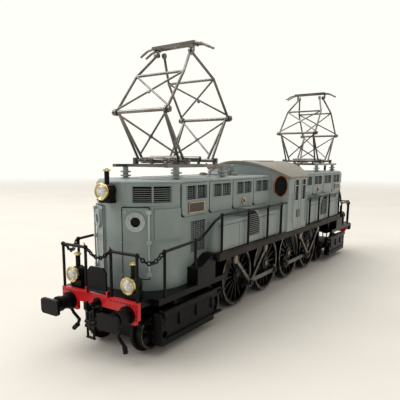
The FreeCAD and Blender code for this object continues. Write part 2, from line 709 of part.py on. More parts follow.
# ---- side lockers -------------------------------------------------------------------
locker_out_y = hood_half_width + locker_depth
locker_low_top_z = board_top_z + locker_height
hump_top_z = board_top_z + hump_height
hump_corner_r = 5.0
hump_x = (driver_axle_x[1] + 5.4, driver_axle_x[1] - 3.3)


def build_side_lockers():
    """Hollow boxes on the walkway that cover the drive links, with a taller grilled hump."""
    def body(inset, floor_z):
        corner = 2.6 - inset
        y_out = locker_out_y - inset
        y_in = hood_half_width
        x0 = -locker_x[0] + inset
        x1 = -locker_x[1] - inset
        low = block(x0, x1, -y_out, -y_in, floor_z, locker_low_top_z - inset)
        front_edge = [e for e in low.Edges if abs(e.tangentAt(e.FirstParameter).z) > 0.9
                      and e.BoundBox.XMax < x0 + 0.1 and e.BoundBox.YMax < -y_out + 0.1]
        low = low.makeFillet(corner, front_edge)
        hump = block(-hump_x[0] + inset, -hump_x[1] - inset, -y_out, -y_in, floor_z, hump_top_z - inset)
        side = [e for e in hump.Edges if abs(e.tangentAt(e.FirstParameter).y) > 0.9
                and e.BoundBox.ZMin > hump_top_z - inset - 0.1 and e.BoundBox.XMin > -hump_x[1] - inset - 0.1]
        hump = hump.makeFillet(hump_corner_r, side)
        return low.fuse(hump).removeSplitter()
    shell = body(0.0, board_top_z).cut(body(locker_wall, board_top_z - 1))
    shell = shell.cut(cab_plan(0.0, 0, 60))
    return four([shell])


def build_locker_grilles():
    grille = block(-hump_x[0] + 0.5, -hump_x[1] - 0.8, -locker_out_y, -locker_out_y - 0.2,
                   board_top_z + 2.4, hump_top_z - 1.0)
    corner = [e for e in grille.Edges if abs(e.tangentAt(e.FirstParameter).y) > 0.9
              and e.BoundBox.ZMin > hump_top_z - 1.1 and e.BoundBox.XMin > -hump_x[1] - 0.9]
    grille = grille.makeFillet(hump_corner_r - 0.6, corner)
    return four([grille])


def build_blank_plates():
    """Blank number plates, round builder's badges and cab plates."""
    y = -hood_half_width - panel_thick
    plate = block(-67.2, -60.0, y, y - 0.25, panel_low_z + 0.8, panel_low_z + 3.6)
    badge = tube((-36.3, y, panel_low_z + 2.0), (-36.3, y - 0.2, panel_low_z + 2.0), 1.05)
    cab_plate = block(-0.9, 2.1, -cab_half_width, -cab_half_width - 0.2,
                      board_top_z + 4.7, board_top_z + 7.6)
    return four([plate, badge]) + both_sides([cab_plate])


# ---- rails, chains and lamps --------------------------------------------------------
end_post_y = (beam_half_width - 0.5, 4.4)
end_post_x = beam_face_x - 0.5
deck_post_y = -deck_half_width + 0.5
board_post_y = -board_half_width + 0.3
post_five = (-beam_face_x + 7.8, deck_post_y)
side_posts = ((-board_half_length - 9.2, deck_post_y, rail_top_z + 0.7),
              (-board_half_length + 1.8, board_post_y + 0.2, upper_rail_z), (-40.3, board_post_y, upper_rail_z),
              (-26.1, board_post_y, upper_rail_z), (-14.7, board_post_y, upper_rail_z))


def rail_post(x, y, z_low, z_top):
    return [tube((x, y, z_low), (x, y, z_top), rail_r), Part.makeSphere(rail_r * 1.6, Vector(x, y, z_top))]


def build_handrails():
    """Black tube rails: two bays on each beam and the run along each walkway."""
    outer, inner = end_post_y
    bay = rail_post(-end_post_x, -outer, beam_top_z, rail_top_z)
    bay += rail_post(-end_post_x, -inner, beam_top_z, rail_top_z)
    bay.append(tube((-end_post_x, -outer, rail_top_z), (-end_post_x, -inner, rail_top_z), rail_r))
    x5, y5 = post_five
    run = rail_post(x5, y5, deck_top_z, rail_top_z)
    path = [(x5, y5, rail_top_z)]
    for index, (x, y, z) in enumerate(side_posts):
        foot = board_top_z - board_skirt_depth - 0.4 if index == 0 else board_top_z
        run += rail_post(x, y, foot, z)
        path.append((x, y, z))
    bend = (-board_half_length - 1.6, board_post_y + 0.6, upper_rail_z - 1.5)
    path.insert(2, (-board_half_length - 6.8, deck_post_y - 0.3, rail_top_z + 1.1))
    path.insert(3, bend)
    path.append((-cab_half_length - 1.0, -cab_half_width + 0.3, upper_rail_z))
    run.append(bar_chain(path, rail_r))
    return four([joined(bay), joined(run)])


link_wire_r = 0.2
link_width = 1.3
link_pitch = 0.92           # link to link along the chain
link_reach = 0.25           # the last link's end to the ball of its post
curve_steps = 200


def chain(start, end, sag):
    """Closed links hung in a shallow curve from start to end."""
    a = Vector(*start)
    b = Vector(*end)
    curve = []
    for i in range(curve_steps + 1):
        t = i / curve_steps
        curve.append(a + (b - a) * t - Vector(0, 0, 4 * sag * t * (1 - t)))
    lengths = [(q - p).Length for p, q in zip(curve[:-1], curve[1:])]
    count = round(sum(lengths) / link_pitch)
    step = sum(lengths) / count
    points = [a]
    run = 0.0
    for length, point in zip(lengths, curve[1:]):
        run += length
        if run >= step * len(points) - 1e-6:
            points.append(point)
    links = []
    for i, (p, q) in enumerate(zip(points[:-1], points[1:])):
        ring = Part.makeTorus(link_width / 2 - link_wire_r, link_wire_r)
        ring.rotate(Vector(0, 0, 0), Vector(1, 0, 0), 90 if i % 2 else 0)
        along = q - p
        ring.rotate(Vector(0, 0, 0), Vector(0, 1, 0), -math.degrees(math.asin(along.z / along.Length)))
        ring.rotate(Vector(0, 0, 0), Vector(0, 0, 1), math.degrees(math.atan2(along.y, along.x)))
        ring.translate((p + q) * 0.5)
        links.append(ring)
    return links


def build_safety_chains():
    """Chains that close the gaps between the rails, fused link to link as one hanging piece each."""
    outer, inner = end_post_y
    z = rail_top_z - 0.4
    reach = rail_r * 1.6 + link_reach
    middle = chain((-end_post_x, inner - reach, z), (-end_post_x, -inner + reach, z), 1.8)
    x5, y5 = post_five
    corner = chain((-end_post_x + reach, -outer - 0.1, z), (x5 - reach, y5 + 0.1, z), 2.0)
    shapes = [joined(middle)] + both_sides([joined(corner)])
    return both_ends(shapes)


lamp_y = buffer_y - 0.35
lamp_x = beam_face_x - 3.8
lamp_z = beam_top_z + 3.55
lamp_body_r = 1.9
lamp_depth = 2.9
high_lamp_z = hood_top_z - 2.6
high_lamp_x = nose_tip_x + 2.9
lamp_rim_r = 2.15
lamp_glass_r = 1.7
lamp_case_half = 1.6
lamp_foot_half = 1.9
lamp_chimney_x = 1.7        # chimney's axis behind the lens face
lamp_chimney_r = 0.62
lamp_chimney_top = 4.9      # above the lamp's axis
lamp_cap_r = 0.95


def lamp_sites():
    """Centre of the lens face of each lamp at the front, and the z of what carries it."""
    return ((-lamp_x - lamp_depth, -lamp_y, lamp_z), (-lamp_x - lamp_depth, lamp_y, lamp_z),
            (-high_lamp_x - 0.4, 0.0, high_lamp_z))


def build_headlamps():
    """Lamp bodies with a square back, a foot or bracket, and a round chimney."""
    shapes = []
    for x, y, z in lamp_sites():
        drum = tube((x, y, z), (x + lamp_depth, y, z), lamp_body_r)
        drum = drum.cut(tube((x - 1, y, z), (x + 0.5, y, z), lamp_glass_r))
        case = block(x + 0.9, x + lamp_depth, y - lamp_case_half, y + lamp_case_half, z - 2.4, z + 1.4)
        chimney = tube((x + lamp_chimney_x, y, z + 1.0), (x + lamp_chimney_x, y, z + lamp_chimney_top),
                       lamp_chimney_r)
        if y:
            foot = block(x + 0.7, x + lamp_depth, y - lamp_foot_half, y + lamp_foot_half, beam_top_z, z - 1.5)
        else:
            shelf = block(x + 0.6, x + lamp_depth, y - lamp_foot_half, y + lamp_foot_half, z - 2.9, z - 2.3)
            back = block(x + lamp_depth - 0.5, -hood_nose_x - hood_half_width, y - 0.8, y + 0.8, z - 2.9, z)
            foot = shelf.fuse(back)
        shapes.append(joined([drum, case, chimney, foot]))
    return both_ends(shapes)


def build_headlamp_brass():
    """Brass rims round the lenses and caps on the chimneys."""
    shapes = []
    for x, y, z in lamp_sites():
        rim = tube((x - 0.5, y, z), (x, y, z), lamp_rim_r).cut(tube((x - 2, y, z), (x + 1, y, z), lamp_glass_r))
        cap_x = x + lamp_chimney_x
        cap_z = z + lamp_chimney_top
        cap = tube((cap_x, y, cap_z), (cap_x, y, cap_z + 0.4), lamp_cap_r)
        knob = tube((cap_x, y, cap_z + 0.3), (cap_x, y, cap_z + 0.7), 0.45)
        shapes += [rim, joined([cap, knob])]
    return both_ends(shapes)


def build_headlamp_lenses():
    return both_ends([tube((x - 0.3, y, z), (x + 0.5, y, z), lamp_glass_r) for x, y, z in lamp_sites()])


# bends of each pipe: distance out from the beam's middle, offset from the buffer, drop below its pad
far_pipe_bends = ((0.0, 0.35, 0.0), (0.0, 0.35, 0.5), (0.3, -0.65, 1.15), (0.7, -3.25, 2.35),
                  (0.9, -2.85, 3.75), (0.9, -1.25, 5.15))
near_pipe_bends = ((0.0, -1.75, 0.0), (0.0, -1.75, 0.5), (0.4, -3.25, 1.95), (0.8, -2.85, 4.15),
                   (0.8, -0.95, 5.95), (0.8, -0.65, 7.65))


def build_brake_pipes():
    """Bent brake pipes below the beams, stiff castings with a coupling head."""
    x = -beam_face_x + beam_thick / 2
    pad_low_z = buffer_z - beam_pad_drop
    pipes = []
    for side, bends in ((1, far_pipe_bends), (-1, near_pipe_bends)):
        path = [(x - out, side * (buffer_y + dy), pad_low_z - drop) for out, dy, drop in bends]
        head = tube(path[-2], path[-1], 0.62)
        pipes.append(joined([bar_chain(path, 0.42), head]))
    return both_ends(pipes)


# ---- pantographs --------------------------------------------------------------------
base_bar_z = panto_base[2] - 1.9
base_bar_half = 16.5
insulator_r = 1.5
spring_dx = 5.3             # the raising springs lie across the base, inside the pivots
spring_half = 5.2
spring_r = 0.75


def build_roof_insulators():
    """Ribbed insulators under each pantograph base."""
    shapes = []
    for dx in (-12.0, 12.0):
        x = -panto_x + dx
        post = tube((x, -panto_base[1], hood_top_z), (x, -panto_base[1], base_bar_z), 0.8)
        for dz in (0.4, 1.5):
            post = post.fuse(tube((x, -panto_base[1], hood_top_z + dz),
                                  (x, -panto_base[1], hood_top_z + dz + 0.45), insulator_r))
        shapes.append(post)
    return four(shapes)


def build_pantograph_bases():
    """Base bars, pivot shafts, bearings and the raising spring barrels."""
    bx, by, bz = panto_base
    pieces = []
    for y in (-by, by):
        pieces.append(block(-panto_x - base_bar_half, -panto_x + base_bar_half, y - 0.7, y + 0.7,
                            base_bar_z, base_bar_z + 0.8))
        for dx in (-bx, bx):
            ear_y = y * (1 + 0.75 / abs(y))
            inner = y * (1 - 0.25 / abs(y))
            lug = block(-panto_x + dx - 0.7, -panto_x + dx + 0.7, inner, ear_y, base_bar_z, bz + 0.7)
            pieces.append(lug.cut(tube((-panto_x + dx, -20, bz), (-panto_x + dx, 20, bz),
                                      panto_shaft_r + running_clear)))
    for dx in (-12.0, 12.0):
        pieces.append(block(-panto_x + dx - 0.6, -panto_x + dx + 0.6, -by, by, base_bar_z, base_bar_z + 0.8))
    for dx in (-spring_dx, spring_dx):
        x = -panto_x + dx
        pieces.append(tube((x, -spring_half, bz + 0.5), (x, spring_half, bz + 0.5), spring_r))
        for y in (-spring_half + 0.5, spring_half - 0.5):
            pieces.append(block(x - 0.4, x + 0.4, y - 0.3, y + 0.3, base_bar_z + 0.3, bz + 0.3))
    pieces.append(block(-panto_x - spring_dx - 0.8, -panto_x + spring_dx + 0.8, -spring_half, -spring_half + 1.0,
                        base_bar_z, base_bar_z + 0.6))
    pieces.append(block(-panto_x - spring_dx - 0.8, -panto_x + spring_dx + 0.8, spring_half - 1.0, spring_half,
                        base_bar_z, base_bar_z + 0.6))
    for y in (-spring_half + 0.5, spring_half - 0.5):
        pieces.append(block(-panto_x - 12.0, -panto_x + 12.0, y - 0.3, y + 0.3, base_bar_z, base_bar_z + 0.6))
    return both_ends([joined(pieces)])


def panto_points(side):
    """Base, knee, middle and top points (x from the pantograph's centre, half width, z)."""
    return [(-panto_x + side * p[0], p[1], p[2]) for p in (panto_base, panto_knee, panto_mid, panto_top)]


def build_lower_arm(side):
    """Lower frame: a pivot shaft, two tapering double rods and an X brace."""
    base, knee, _, _ = panto_points(side)
    parts = [tube((base[0], -base[1] - 0.9, base[2]), (base[0], base[1] + 0.9, base[2]), panto_shaft_r)]
    pull = (base[0] + knee[0]) / 2
    for sign in (-1, 1):
        foot_y = sign * (base[1] - 0.95)
        knee_y = sign * (knee[1] - 0.75)
        parts.append(tube((base[0], foot_y, base[2]), (knee[0], knee_y, knee[2]), panto_tube_r))
        inner = sign * (base[1] - 2.6)
        parts.append(tube((base[0], inner, base[2]), (knee[0], knee_y, knee[2]), panto_tube_r))
        low = (base[0] + 0.12 * (knee[0] - base[0]), sign * (base[1] - 2.3), base[2] + 0.12 * (knee[2] - base[2]))
        high = (base[0] + 0.93 * (knee[0] - base[0]), -sign * (knee[1] - 0.9), base[2] + 0.93 * (knee[2] - base[2]))
        parts.append(tube(low, high, panto_tube_r * 0.75))
    parts.append(Part.makeSphere(0.6, Vector(pull, 0, (base[2] + knee[2]) / 2)))
    parts.append(tube((knee[0], -knee[1], knee[2]), (knee[0], knee[1], knee[2]), panto_shaft_r))
    return [joined(parts)]


def build_upper_arm(side, top_y, pin_hole):
    """Upper frame: knee sockets, bent side tubes, a cross bar and an X brace."""
    _, knee, mid, top = panto_points(side)
    parts = []
    for sign in (-1, 1):
        knee_y = sign * (knee[1] - 0.05)
        socket = tube((knee[0], sign * (knee[1] - 0.35), knee[2]), (knee[0], sign * (knee[1] + 0.55), knee[2]), 0.95)
        parts.append(socket)
        rail = bar_chain([(knee[0], knee_y + sign * 0.15, knee[2]), (mid[0], sign * mid[1], mid[2]),
                          (top[0], sign * top_y, top[2])], panto_tube_r)
        parts.append(rail)
        low = (knee[0] + 0.1 * (mid[0] - knee[0]), knee_y, knee[2] + 0.1 * (mid[2] - knee[2]))
        parts.append(tube(low, (mid[0], -sign * mid[1], mid[2]), panto_tube_r * 0.75))
        eye = tube((top[0], sign * (top_y - 0.35), top[2]), (top[0], sign * (top_y + 0.35), top[2]), 0.8)
        parts.append(eye)
    parts.append(tube((mid[0], -mid[1], mid[2]), (mid[0], mid[1], mid[2]), panto_tube_r))
    frame = joined(parts)
    knee_hole = tube((knee[0], -knee[1] - 1, knee[2]), (knee[0], knee[1] + 1, knee[2]),
                     panto_shaft_r + running_clear)
    frame = frame.cut(knee_hole)
    if pin_hole:
        frame = frame.cut(tube((top[0], -top_y - 1, top[2]), (top[0], top_y + 1, top[2]),
                               panto_pin_r + running_clear))
    return [frame]


head_half_width = 9.4
horn_reach = 3.4
horn_drop = 1.7


def build_pan_head():
    """Twin collector strips with downturned horns, on a cradle carried by the top pins."""
    x = -panto_x
    z = panto_top[2] + 1.8
    w = head_half_width
    parts = []
    for dx in (-1.2, 1.2):
        parts.append(bar_chain([(x + dx, -w - horn_reach + 0.8, z - horn_drop), (x + dx, -w, z - 0.35),
                                (x + dx, -w + 2.0, z), (x + dx, w - 2.0, z), (x + dx, w, z - 0.35),
                                (x + dx, w + horn_reach - 0.8, z - horn_drop)], 0.34))
        parts.append(block(x + dx - 0.55, x + dx + 0.55, -w + 2.0, w - 2.0, z - 0.1, z + 0.5))
    front_top = panto_points(-1)[3]
    pin_y = panto_top[1] + 0.9
    for y in (-pin_y, pin_y):
        parts.append(block(x - 1.5, x + 1.5, y - 0.3, y + 0.3, z - 0.5, z + 0.1))
    for sign in (-1, 1):
        parts.append(block(front_top[0] - 0.35, front_top[0] + 0.35, sign * pin_y - 0.3, sign * pin_y + 0.3,
                           front_top[2] - 0.4, z))
        parts.append(tube((front_top[0], sign * (pin_y + 0.3), front_top[2]),
                          (front_top[0], sign * (panto_top[1] - 0.4), front_top[2]), panto_pin_r))
    return [joined(parts)]


def build_roof_switchgear():
    """Main switch, its insulators and conductors on the hood roof beside the cab."""
    x = -28.5
    z = hood_top_z
    parts = [block(x - 5.5, x + 5.5, -3.2, 3.2, z, z + 0.7)]
    for dx in (-3.8, 0.0, 3.8):
        parts.append(tube((x + dx, -1.6, z + 0.5), (x + dx, -1.6, z + 3.0), 0.8))
        parts.append(tube((x + dx, -1.6, z + 1.2), (x + dx, -1.6, z + 1.7), 1.3))
    parts.append(tube((x - 5.0, -1.6, z + 3.2), (x + 5.0, -1.6, z + 3.2), 0.4))
    parts.append(tube((x + 2.0, 1.4, z + 0.5), (x + 2.0, 1.4, z + 2.2), 1.1))
    return both_ends([joined(parts)])


# ---- wheels, rods and drive ---------------------------------------------------------
def spoked_wheel(tread_r, flange_r, axle_r, hub_r, rim_depth, spokes):
    """A wheel lying about the Y axis, its back at y = 0 and its face at y = -wheel_width."""
    rim = tube((0, -flange_width * 0.4, 0), (0, -wheel_width, 0), tread_r)
    rim = rim.fuse(tube((0, 0, 0), (0, -flange_width, 0), flange_r))
    inner_r = tread_r - rim_depth
    rim = rim.cut(tube((0, 1, 0), (0, -wheel_width - 1, 0), inner_r))
    hub = tube((0, -0.3, 0), (0, -wheel_width, 0), hub_r)
    parts = [rim, hub]
    for i in range(spokes):
        spoke = block(hub_r * 0.6, inner_r + 0.3, -0.9, -wheel_width + 0.5, -0.26, 0.26)
        parts.append(turned(spoke, 360.0 * i / spokes, (0, 0, 0), (0, 1, 0)))
    return joined(parts).cut(tube((0, 1, 0), (0, -wheel_width - 1, 0), axle_r))


def around_y(dx, dz, angle):
    """Turn an (x, z) offset by angle, counted from +X towards +Z."""
    a = math.radians(angle)
    return dx * math.cos(a) - dz * math.sin(a), dx * math.sin(a) + dz * math.cos(a)


def group_angles(group):
    """Crank angles of a group's near and far side."""
    near = crank_angle if group == "front" else 180.0 - crank_angle
    return {-1: near, 1: near + crank_lead}


def pin_offset(angle):
    return around_y(crank_r, 0.0, angle)


def build_driving_wheelset(x, group, has_worm_wheel, long_pin):
    """Axle, two spoked wheels with crank pins, and a worm wheel on the geared axles."""
    solids = []
    axle = tube((x, -wheel_face_y - 0.25, driver_axle_z), (x, wheel_face_y + 0.25, driver_axle_z), driver_axle_r)
    solids.append(axle)
    plain = spoked_wheel(driver_tread_r, driver_flange_r, driver_axle_r, 2.5, 1.15, driver_spokes)
    for side in (-1, 1):
        angle = group_angles(group)[side]
        dx, dz = pin_offset(angle)
        wheel = plain if side < 0 else far_side(plain)
        boss = tube((dx, side * 0.6, dz), (dx, side * wheel_width, dz), 1.35)
        arm = block(0.0, crank_r, side * 0.6, side * (wheel_width - 0.15), -1.2, 1.2)
        arm = turned(arm, -angle, (0, 0, 0), (0, 1, 0))
        arm = arm.cut(tube((0, -5, 0), (0, 5, 0), driver_axle_r))
        weight = counterweight(side, angle)
        pin_end = drive_link_out if long_pin else rod_layer_y + rod_thick
        pin = tube((dx, side * 1.0, dz), (dx, side * (pin_end + 0.45 - wheel_back_y), dz), pin_r)
        cap = tube((dx, side * (pin_end + 0.15 - wheel_back_y), dz),
                   (dx, side * (pin_end + 0.55 - wheel_back_y), dz), pin_r + 0.35)
        wheel = joined([wheel, boss, arm, weight, pin, cap])
        solids.append(moved(wheel, x, side * wheel_back_y, driver_axle_z))
    if has_worm_wheel:
        gear = tube((x, -1.6, driver_axle_z), (x, 1.6, driver_axle_z), worm_wheel_r)
        solids.append(gear.cut(tube((x, -3, driver_axle_z), (x, 3, driver_axle_z), driver_axle_r)))
    return solids


worm_r = 1.9
worm_wheel_r = drive_shaft_z - driver_axle_z - worm_r - 0.15


def counterweight(side, angle):
    """A crescent between the spokes opposite the crank."""
    inner_r = driver_tread_r - 1.0
    disc = tube((0, side * 0.9, 0), (0, side * (wheel_width - 0.3), 0), inner_r)
    keep = block(-inner_r - 1, -inner_r * 0.62, -4, 4, -7, 7)
    keep = turned(keep, -angle, (0, 0, 0), (0, 1, 0))
    return disc.common(keep)


def rod_shape(points, y0, y1, width):
    """Flat bars between (x, z) points, with a round eye at each point."""
    parts = []
    for a, b in zip(points[:-1], points[1:]):
        length = math.hypot(b[0] - a[0], b[1] - a[1])
        angle = math.degrees(math.atan2(b[1] - a[1], b[0] - a[0]))
        bar = block(0, length, y0, y1, -width / 2, width / 2)
        bar = turned(bar, -angle, (0, 0, 0), (0, 1, 0))
        parts.append(moved(bar, a[0], 0, a[1]))
    for x, z in points:
        parts.append(tube((x, y0, z), (x, y1, z), rod_eye_r))
    return joined(parts)


def build_side_rods(group, side):
    """Coupling rod and V-shaped drive link of one side of one group."""
    sign = -1 if group == "front" else 1
    dx, dz = pin_offset(group_angles(group)[side])
    lead_x = sign * driver_axle_x[1] + dx
    other_x = sign * driver_axle_x[0] + dx
    z = driver_axle_z + dz
    y0 = side * rod_layer_y
    y1 = side * (rod_layer_y + rod_thick)
    coupling = rod_shape([(lead_x, z), (other_x, z)], y0, y1, 1.5)
    v0 = side * drive_link_in
    v1 = side * drive_link_out
    top = z + drive_pin_dz
    link = rod_shape([(lead_x - drive_pin_dx, top), (lead_x, z), (lead_x + drive_pin_dx, top)], v0, v1, 1.3)
    hole_r = pin_r + running_clear
    for x in (lead_x, other_x):
        bore = tube((x, -20, z), (x, 20, z), hole_r)
        coupling = coupling.cut(bore)
        link = link.cut(bore)
    for x in (lead_x - drive_pin_dx, lead_x + drive_pin_dx):
        bush = tube((x, v1, top), (x, v1 + side * 0.2, top), 0.9)
        link = link.fuse(bush)
    return [coupling, link]


# ---- bogies -------------------------------------------------------------------------
bogie_side_y = (11.3, 13.9)
bogie_side_z = (2.6, 11.2)


def build_bogie_frame():
    """Outside-framed leading bogie with its bolster, bearing hole and long footstep tube."""
    x0 = -bogie_axle_x[1] - 1.2
    x1 = -bogie_axle_x[0] - 4.6
    hole_r = pony_axle_r + running_clear
    inner_y = 6.3
    side = block(x0, x1, -bogie_side_y[0], -bogie_side_y[1], bogie_side_z[0], bogie_side_z[1])
    ledge = tube((x0 + 0.6, -bogie_side_y[1] + 0.5, bogie_side_z[1] - 0.3),
                 (x1 + 0.6, -bogie_side_y[1] + 0.5, bogie_side_z[1] - 0.3), 1.15)
    middle = -bogie_pivot_x
    transom = block(middle - 4.0, middle + 4.0, -bogie_side_y[0] - 0.2, bogie_side_y[0] + 0.2, 5.0, 8.0)
    core = block(-bogie_axle_x[1] - 2.4, -bogie_axle_x[0] + 2.4, -inner_y, inner_y, 3.4, 7.6)
    frame = joined([core, transom] + both_sides([joined([side, ledge])]))
    bolster = tube((middle, 0, 7.4), (middle, 0, deck_low_z - 0.3), 5.0)
    frame = frame.fuse(bolster)
    for x in bogie_axle_x:
        frame = frame.cut(tube((-x, -20, pony_axle_z), (-x, 20, pony_axle_z), hole_r))
    frame = frame.cut(tube((middle, 0, king_pin_low_z - 0.4), (middle, 0, 20), king_pin_r + running_clear))
    return [frame]


def build_bogie_wheelset(x):
    """Small spoked wheels on a plain axle, for the front bogie."""
    axle = tube((-x, -wheel_face_y - 0.6, pony_axle_z), (-x, wheel_face_y + 0.6, pony_axle_z), pony_axle_r)
    wheel = spoked_wheel(pony_tread_r, pony_flange_r, pony_axle_r, 1.7, 0.8, pony_spokes)
    near = moved(wheel, -x, -wheel_back_y, pony_axle_z)
    return [axle] + both_sides([near])


# ---- motor and internal pieces ------------------------------------------------------
motor_half = (8.5, 4.9, 5.4)
shaft_r = 0.75
shaft_end_x = driver_axle_x[1] + 4.6
bearing_x = (motor_half[0] + 4.0, driver_axle_x[1] - 5.1)


def build_motor():
    """Flat can motor between the frame plates, bored for its shaft."""
    lx, ly, lz = motor_half
    can = block(-lx, lx, -ly, ly, drive_shaft_z - lz, drive_shaft_z + lz)
    edges = [e for e in can.Edges if abs(e.tangentAt(e.FirstParameter).x) > 0.9]
    can = can.makeFillet(1.5, edges)
    bosses = both_ends([tube((-lx, 0, drive_shaft_z), (-lx - 1.2, 0, drive_shaft_z), 1.8)])
    bore = tube((-lx - 3, 0, drive_shaft_z), (lx + 3, 0, drive_shaft_z), shaft_r + running_clear)
    return [joined([can] + bosses).cut(bore)]


def build_motor_saddle():
    """Cradle that carries the motor on the frame stretcher."""
    saddle = block(-6.0, 6.0, -frame_plate_in, frame_plate_in, frame_low_z + 2.5, drive_shaft_z - motor_half[2])
    return [saddle]


def build_drive_shaft():
    """Through shaft with the two worms."""
    parts = [tube((-shaft_end_x, 0, drive_shaft_z), (shaft_end_x, 0, drive_shaft_z), shaft_r)]
    for x in (-driver_axle_x[1], driver_axle_x[1]):
        parts.append(tube((x - 3.4, 0, drive_shaft_z), (x + 3.4, 0, drive_shaft_z), worm_r))
    return [joined(parts)]


def build_shaft_bearings():
    """Bearing blocks that carry the shaft, spanning the frame plates."""
    shapes = []
    for x in bearing_x:
        blk = block(-x - 1.0, -x + 1.0, -frame_plate_in, frame_plate_in, drive_shaft_z - 2.0, drive_shaft_z + 2.6)
        shapes.append(blk.cut(tube((-x - 3, 0, drive_shaft_z), (-x + 3, 0, drive_shaft_z), shaft_r + running_clear)))
    return both_ends(shapes)


# ---- everything ---------------------------------------------------------------------
def main():
    os.makedirs("parts", exist_ok=True)
    hood = build_hood()
    nodes = {
        "main_frame": build_main_frame(),
        "running_board": build_running_board(),
        "end_decks": build_end_decks(),
        "buffer_beams": build_buffer_beams(),
        "buffer_housings": build_buffer_housings(),
        "coupling_hooks": build_coupling_hooks(),
        "hood_front": [hood],
        "hood_rear": [turned(hood)],
        "nose_doors": build_nose_doors(),
        "door_fittings": build_door_fittings(),
        "raised_panels": build_raised_panels(),
        "louvres": build_louvres() + build_locker_grilles(),
        "cab_body": build_cab_body(),
        "cab_roof": build_cab_roof(),
        "window_rims": build_window_rims(),
        "window_glass": build_window_glass(),
        "side_lockers": build_side_lockers(),
        "blank_plates": build_blank_plates(),
        "handrails": build_handrails(),
        "safety_chains": build_safety_chains(),
        "headlamps": build_headlamps(),
        "headlamp_brass": build_headlamp_brass(),
        "headlamp_lenses": build_headlamp_lenses(),
        "brake_pipes": build_brake_pipes(),
        "pantograph_bases": build_pantograph_bases(),
        "roof_fittings": build_roof_insulators() + build_roof_switchgear(),
        "motor_and_bearings": build_motor() + build_motor_saddle() + build_shaft_bearings(),
        "drive_shaft": build_drive_shaft(),
    }
    axles = (-driver_axle_x[1], -driver_axle_x[0], driver_axle_x[0], driver_axle_x[1])
    for number, x in enumerate(axles, 1):
        group = "front" if x < 0 else "rear"
        outer = abs(x) == driver_axle_x[1]
        nodes["driving_wheelset_%d" % number] = build_driving_wheelset(x, group, outer, outer)
    for group in ("front", "rear"):
        for side, name in ((-1, "near"), (1, "far")):
            nodes["side_rods_%s_%s" % (group, name)] = build_side_rods(group, side)
    ends = {"front": lambda shapes: shapes, "rear": lambda shapes: [turned(s) for s in shapes]}
    for end, place in ends.items():
        nodes["bogie_frame_" + end] = place(build_bogie_frame())
        nodes["bogie_wheelset_%s_inner" % end] = place(build_bogie_wheelset(bogie_axle_x[0]))
        nodes["bogie_wheelset_%s_outer" % end] = place(build_bogie_wheelset(bogie_axle_x[1]))
        nodes["screw_coupling_" + end] = place(build_coupling())
        nodes["gangway_plate_" + end] = place(build_gangway())
        sides = {"near": -buffer_y, "far": buffer_y}
        for side, y in sides.items():
            y_built = y if end == "front" else -y
            nodes["buffer_%s_%s" % (end, side)] = place(build_buffer_head(y_built))
        nodes["pantograph_%s_lower_outer" % end] = place(build_lower_arm(-1))
        nodes["pantograph_%s_lower_inner" % end] = place(build_lower_arm(1))
        nodes["pantograph_%s_upper_outer" % end] = place(build_upper_arm(-1, panto_top[1], True))
        nodes["pantograph_%s_upper_inner" % end] = place(build_upper_arm(1, panto_top[1] - 0.9, False))
        nodes["pantograph_%s_head" % end] = place(build_pan_head())
    for node, shapes in nodes.items():
        write(node, shapes)
    print(len(nodes), "nodes")


main()
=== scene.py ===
"""Looks of the 1:87 electric locomotive, modelled and finished around its CAD frame.

Lengths are in metres, but the modelling helpers take millimetres. X runs along the track with
the front end at -X, the near side is -Y, and Z = 0 is the bottom of the wheel flanges.
"""
import math

import bmesh
import bpy
from mathutils import Matrix, Vector


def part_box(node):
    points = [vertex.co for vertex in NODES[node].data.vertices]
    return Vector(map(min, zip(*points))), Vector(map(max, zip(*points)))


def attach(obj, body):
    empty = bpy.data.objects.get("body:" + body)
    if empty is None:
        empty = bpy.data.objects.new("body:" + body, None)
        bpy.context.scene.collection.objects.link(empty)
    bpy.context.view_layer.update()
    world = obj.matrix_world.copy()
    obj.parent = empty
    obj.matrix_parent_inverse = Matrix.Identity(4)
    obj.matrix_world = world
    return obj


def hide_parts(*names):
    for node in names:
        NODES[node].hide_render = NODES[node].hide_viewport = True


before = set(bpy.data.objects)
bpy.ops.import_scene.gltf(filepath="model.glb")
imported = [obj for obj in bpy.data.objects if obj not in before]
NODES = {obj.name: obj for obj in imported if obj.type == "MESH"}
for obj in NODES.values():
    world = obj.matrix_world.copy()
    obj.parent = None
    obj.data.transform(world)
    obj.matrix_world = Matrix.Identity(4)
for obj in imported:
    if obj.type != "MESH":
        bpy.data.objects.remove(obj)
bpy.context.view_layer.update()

bl_info = {
    "name": "Model electric locomotive",
    "version": (1, 0, 0),
    "blender": (4, 5, 0),
    "location": "View3D > Sidebar > Locomotive",
    "description": "Builds the detailed pieces and finishes of a 1:87 electric locomotive",
    "category": "Object",
}

MM = 0.001


# ---- colours and shader nodes -------------------------------------------------------
def linear(hex_colour, alpha=1.0):
    """The linear RGBA of an sRGB hex colour such as '8A9697'."""
    channels = [int(hex_colour[i:i + 2], 16) / 255 for i in (0, 2, 4)]
    return tuple(c / 12.92 if c <= 0.04045 else ((c + 0.055) / 1.055) ** 2.4 for c in channels) + (alpha,)


def add(material, kind, settings=None, **links):
    """Adds a shader node, sets its attributes, sockets and ramp stops, and links its inputs."""
    node = material.node_tree.nodes.new(kind)
    for key, value in (settings or {}).items():
        if key == "stops":
            elements = node.color_ramp.elements
            while len(elements) < len(value):
                elements.new(0.5)
            for element, (position, colour) in zip(elements, value):
                element.position = position
                element.color = colour
        elif key in node.inputs.keys():
            node.inputs[key].default_value = value
        else:
            setattr(node, key, value)
    for key, source in links.items():
        material.node_tree.links.new(source, node.inputs[key.replace("_", " ")])
    return node


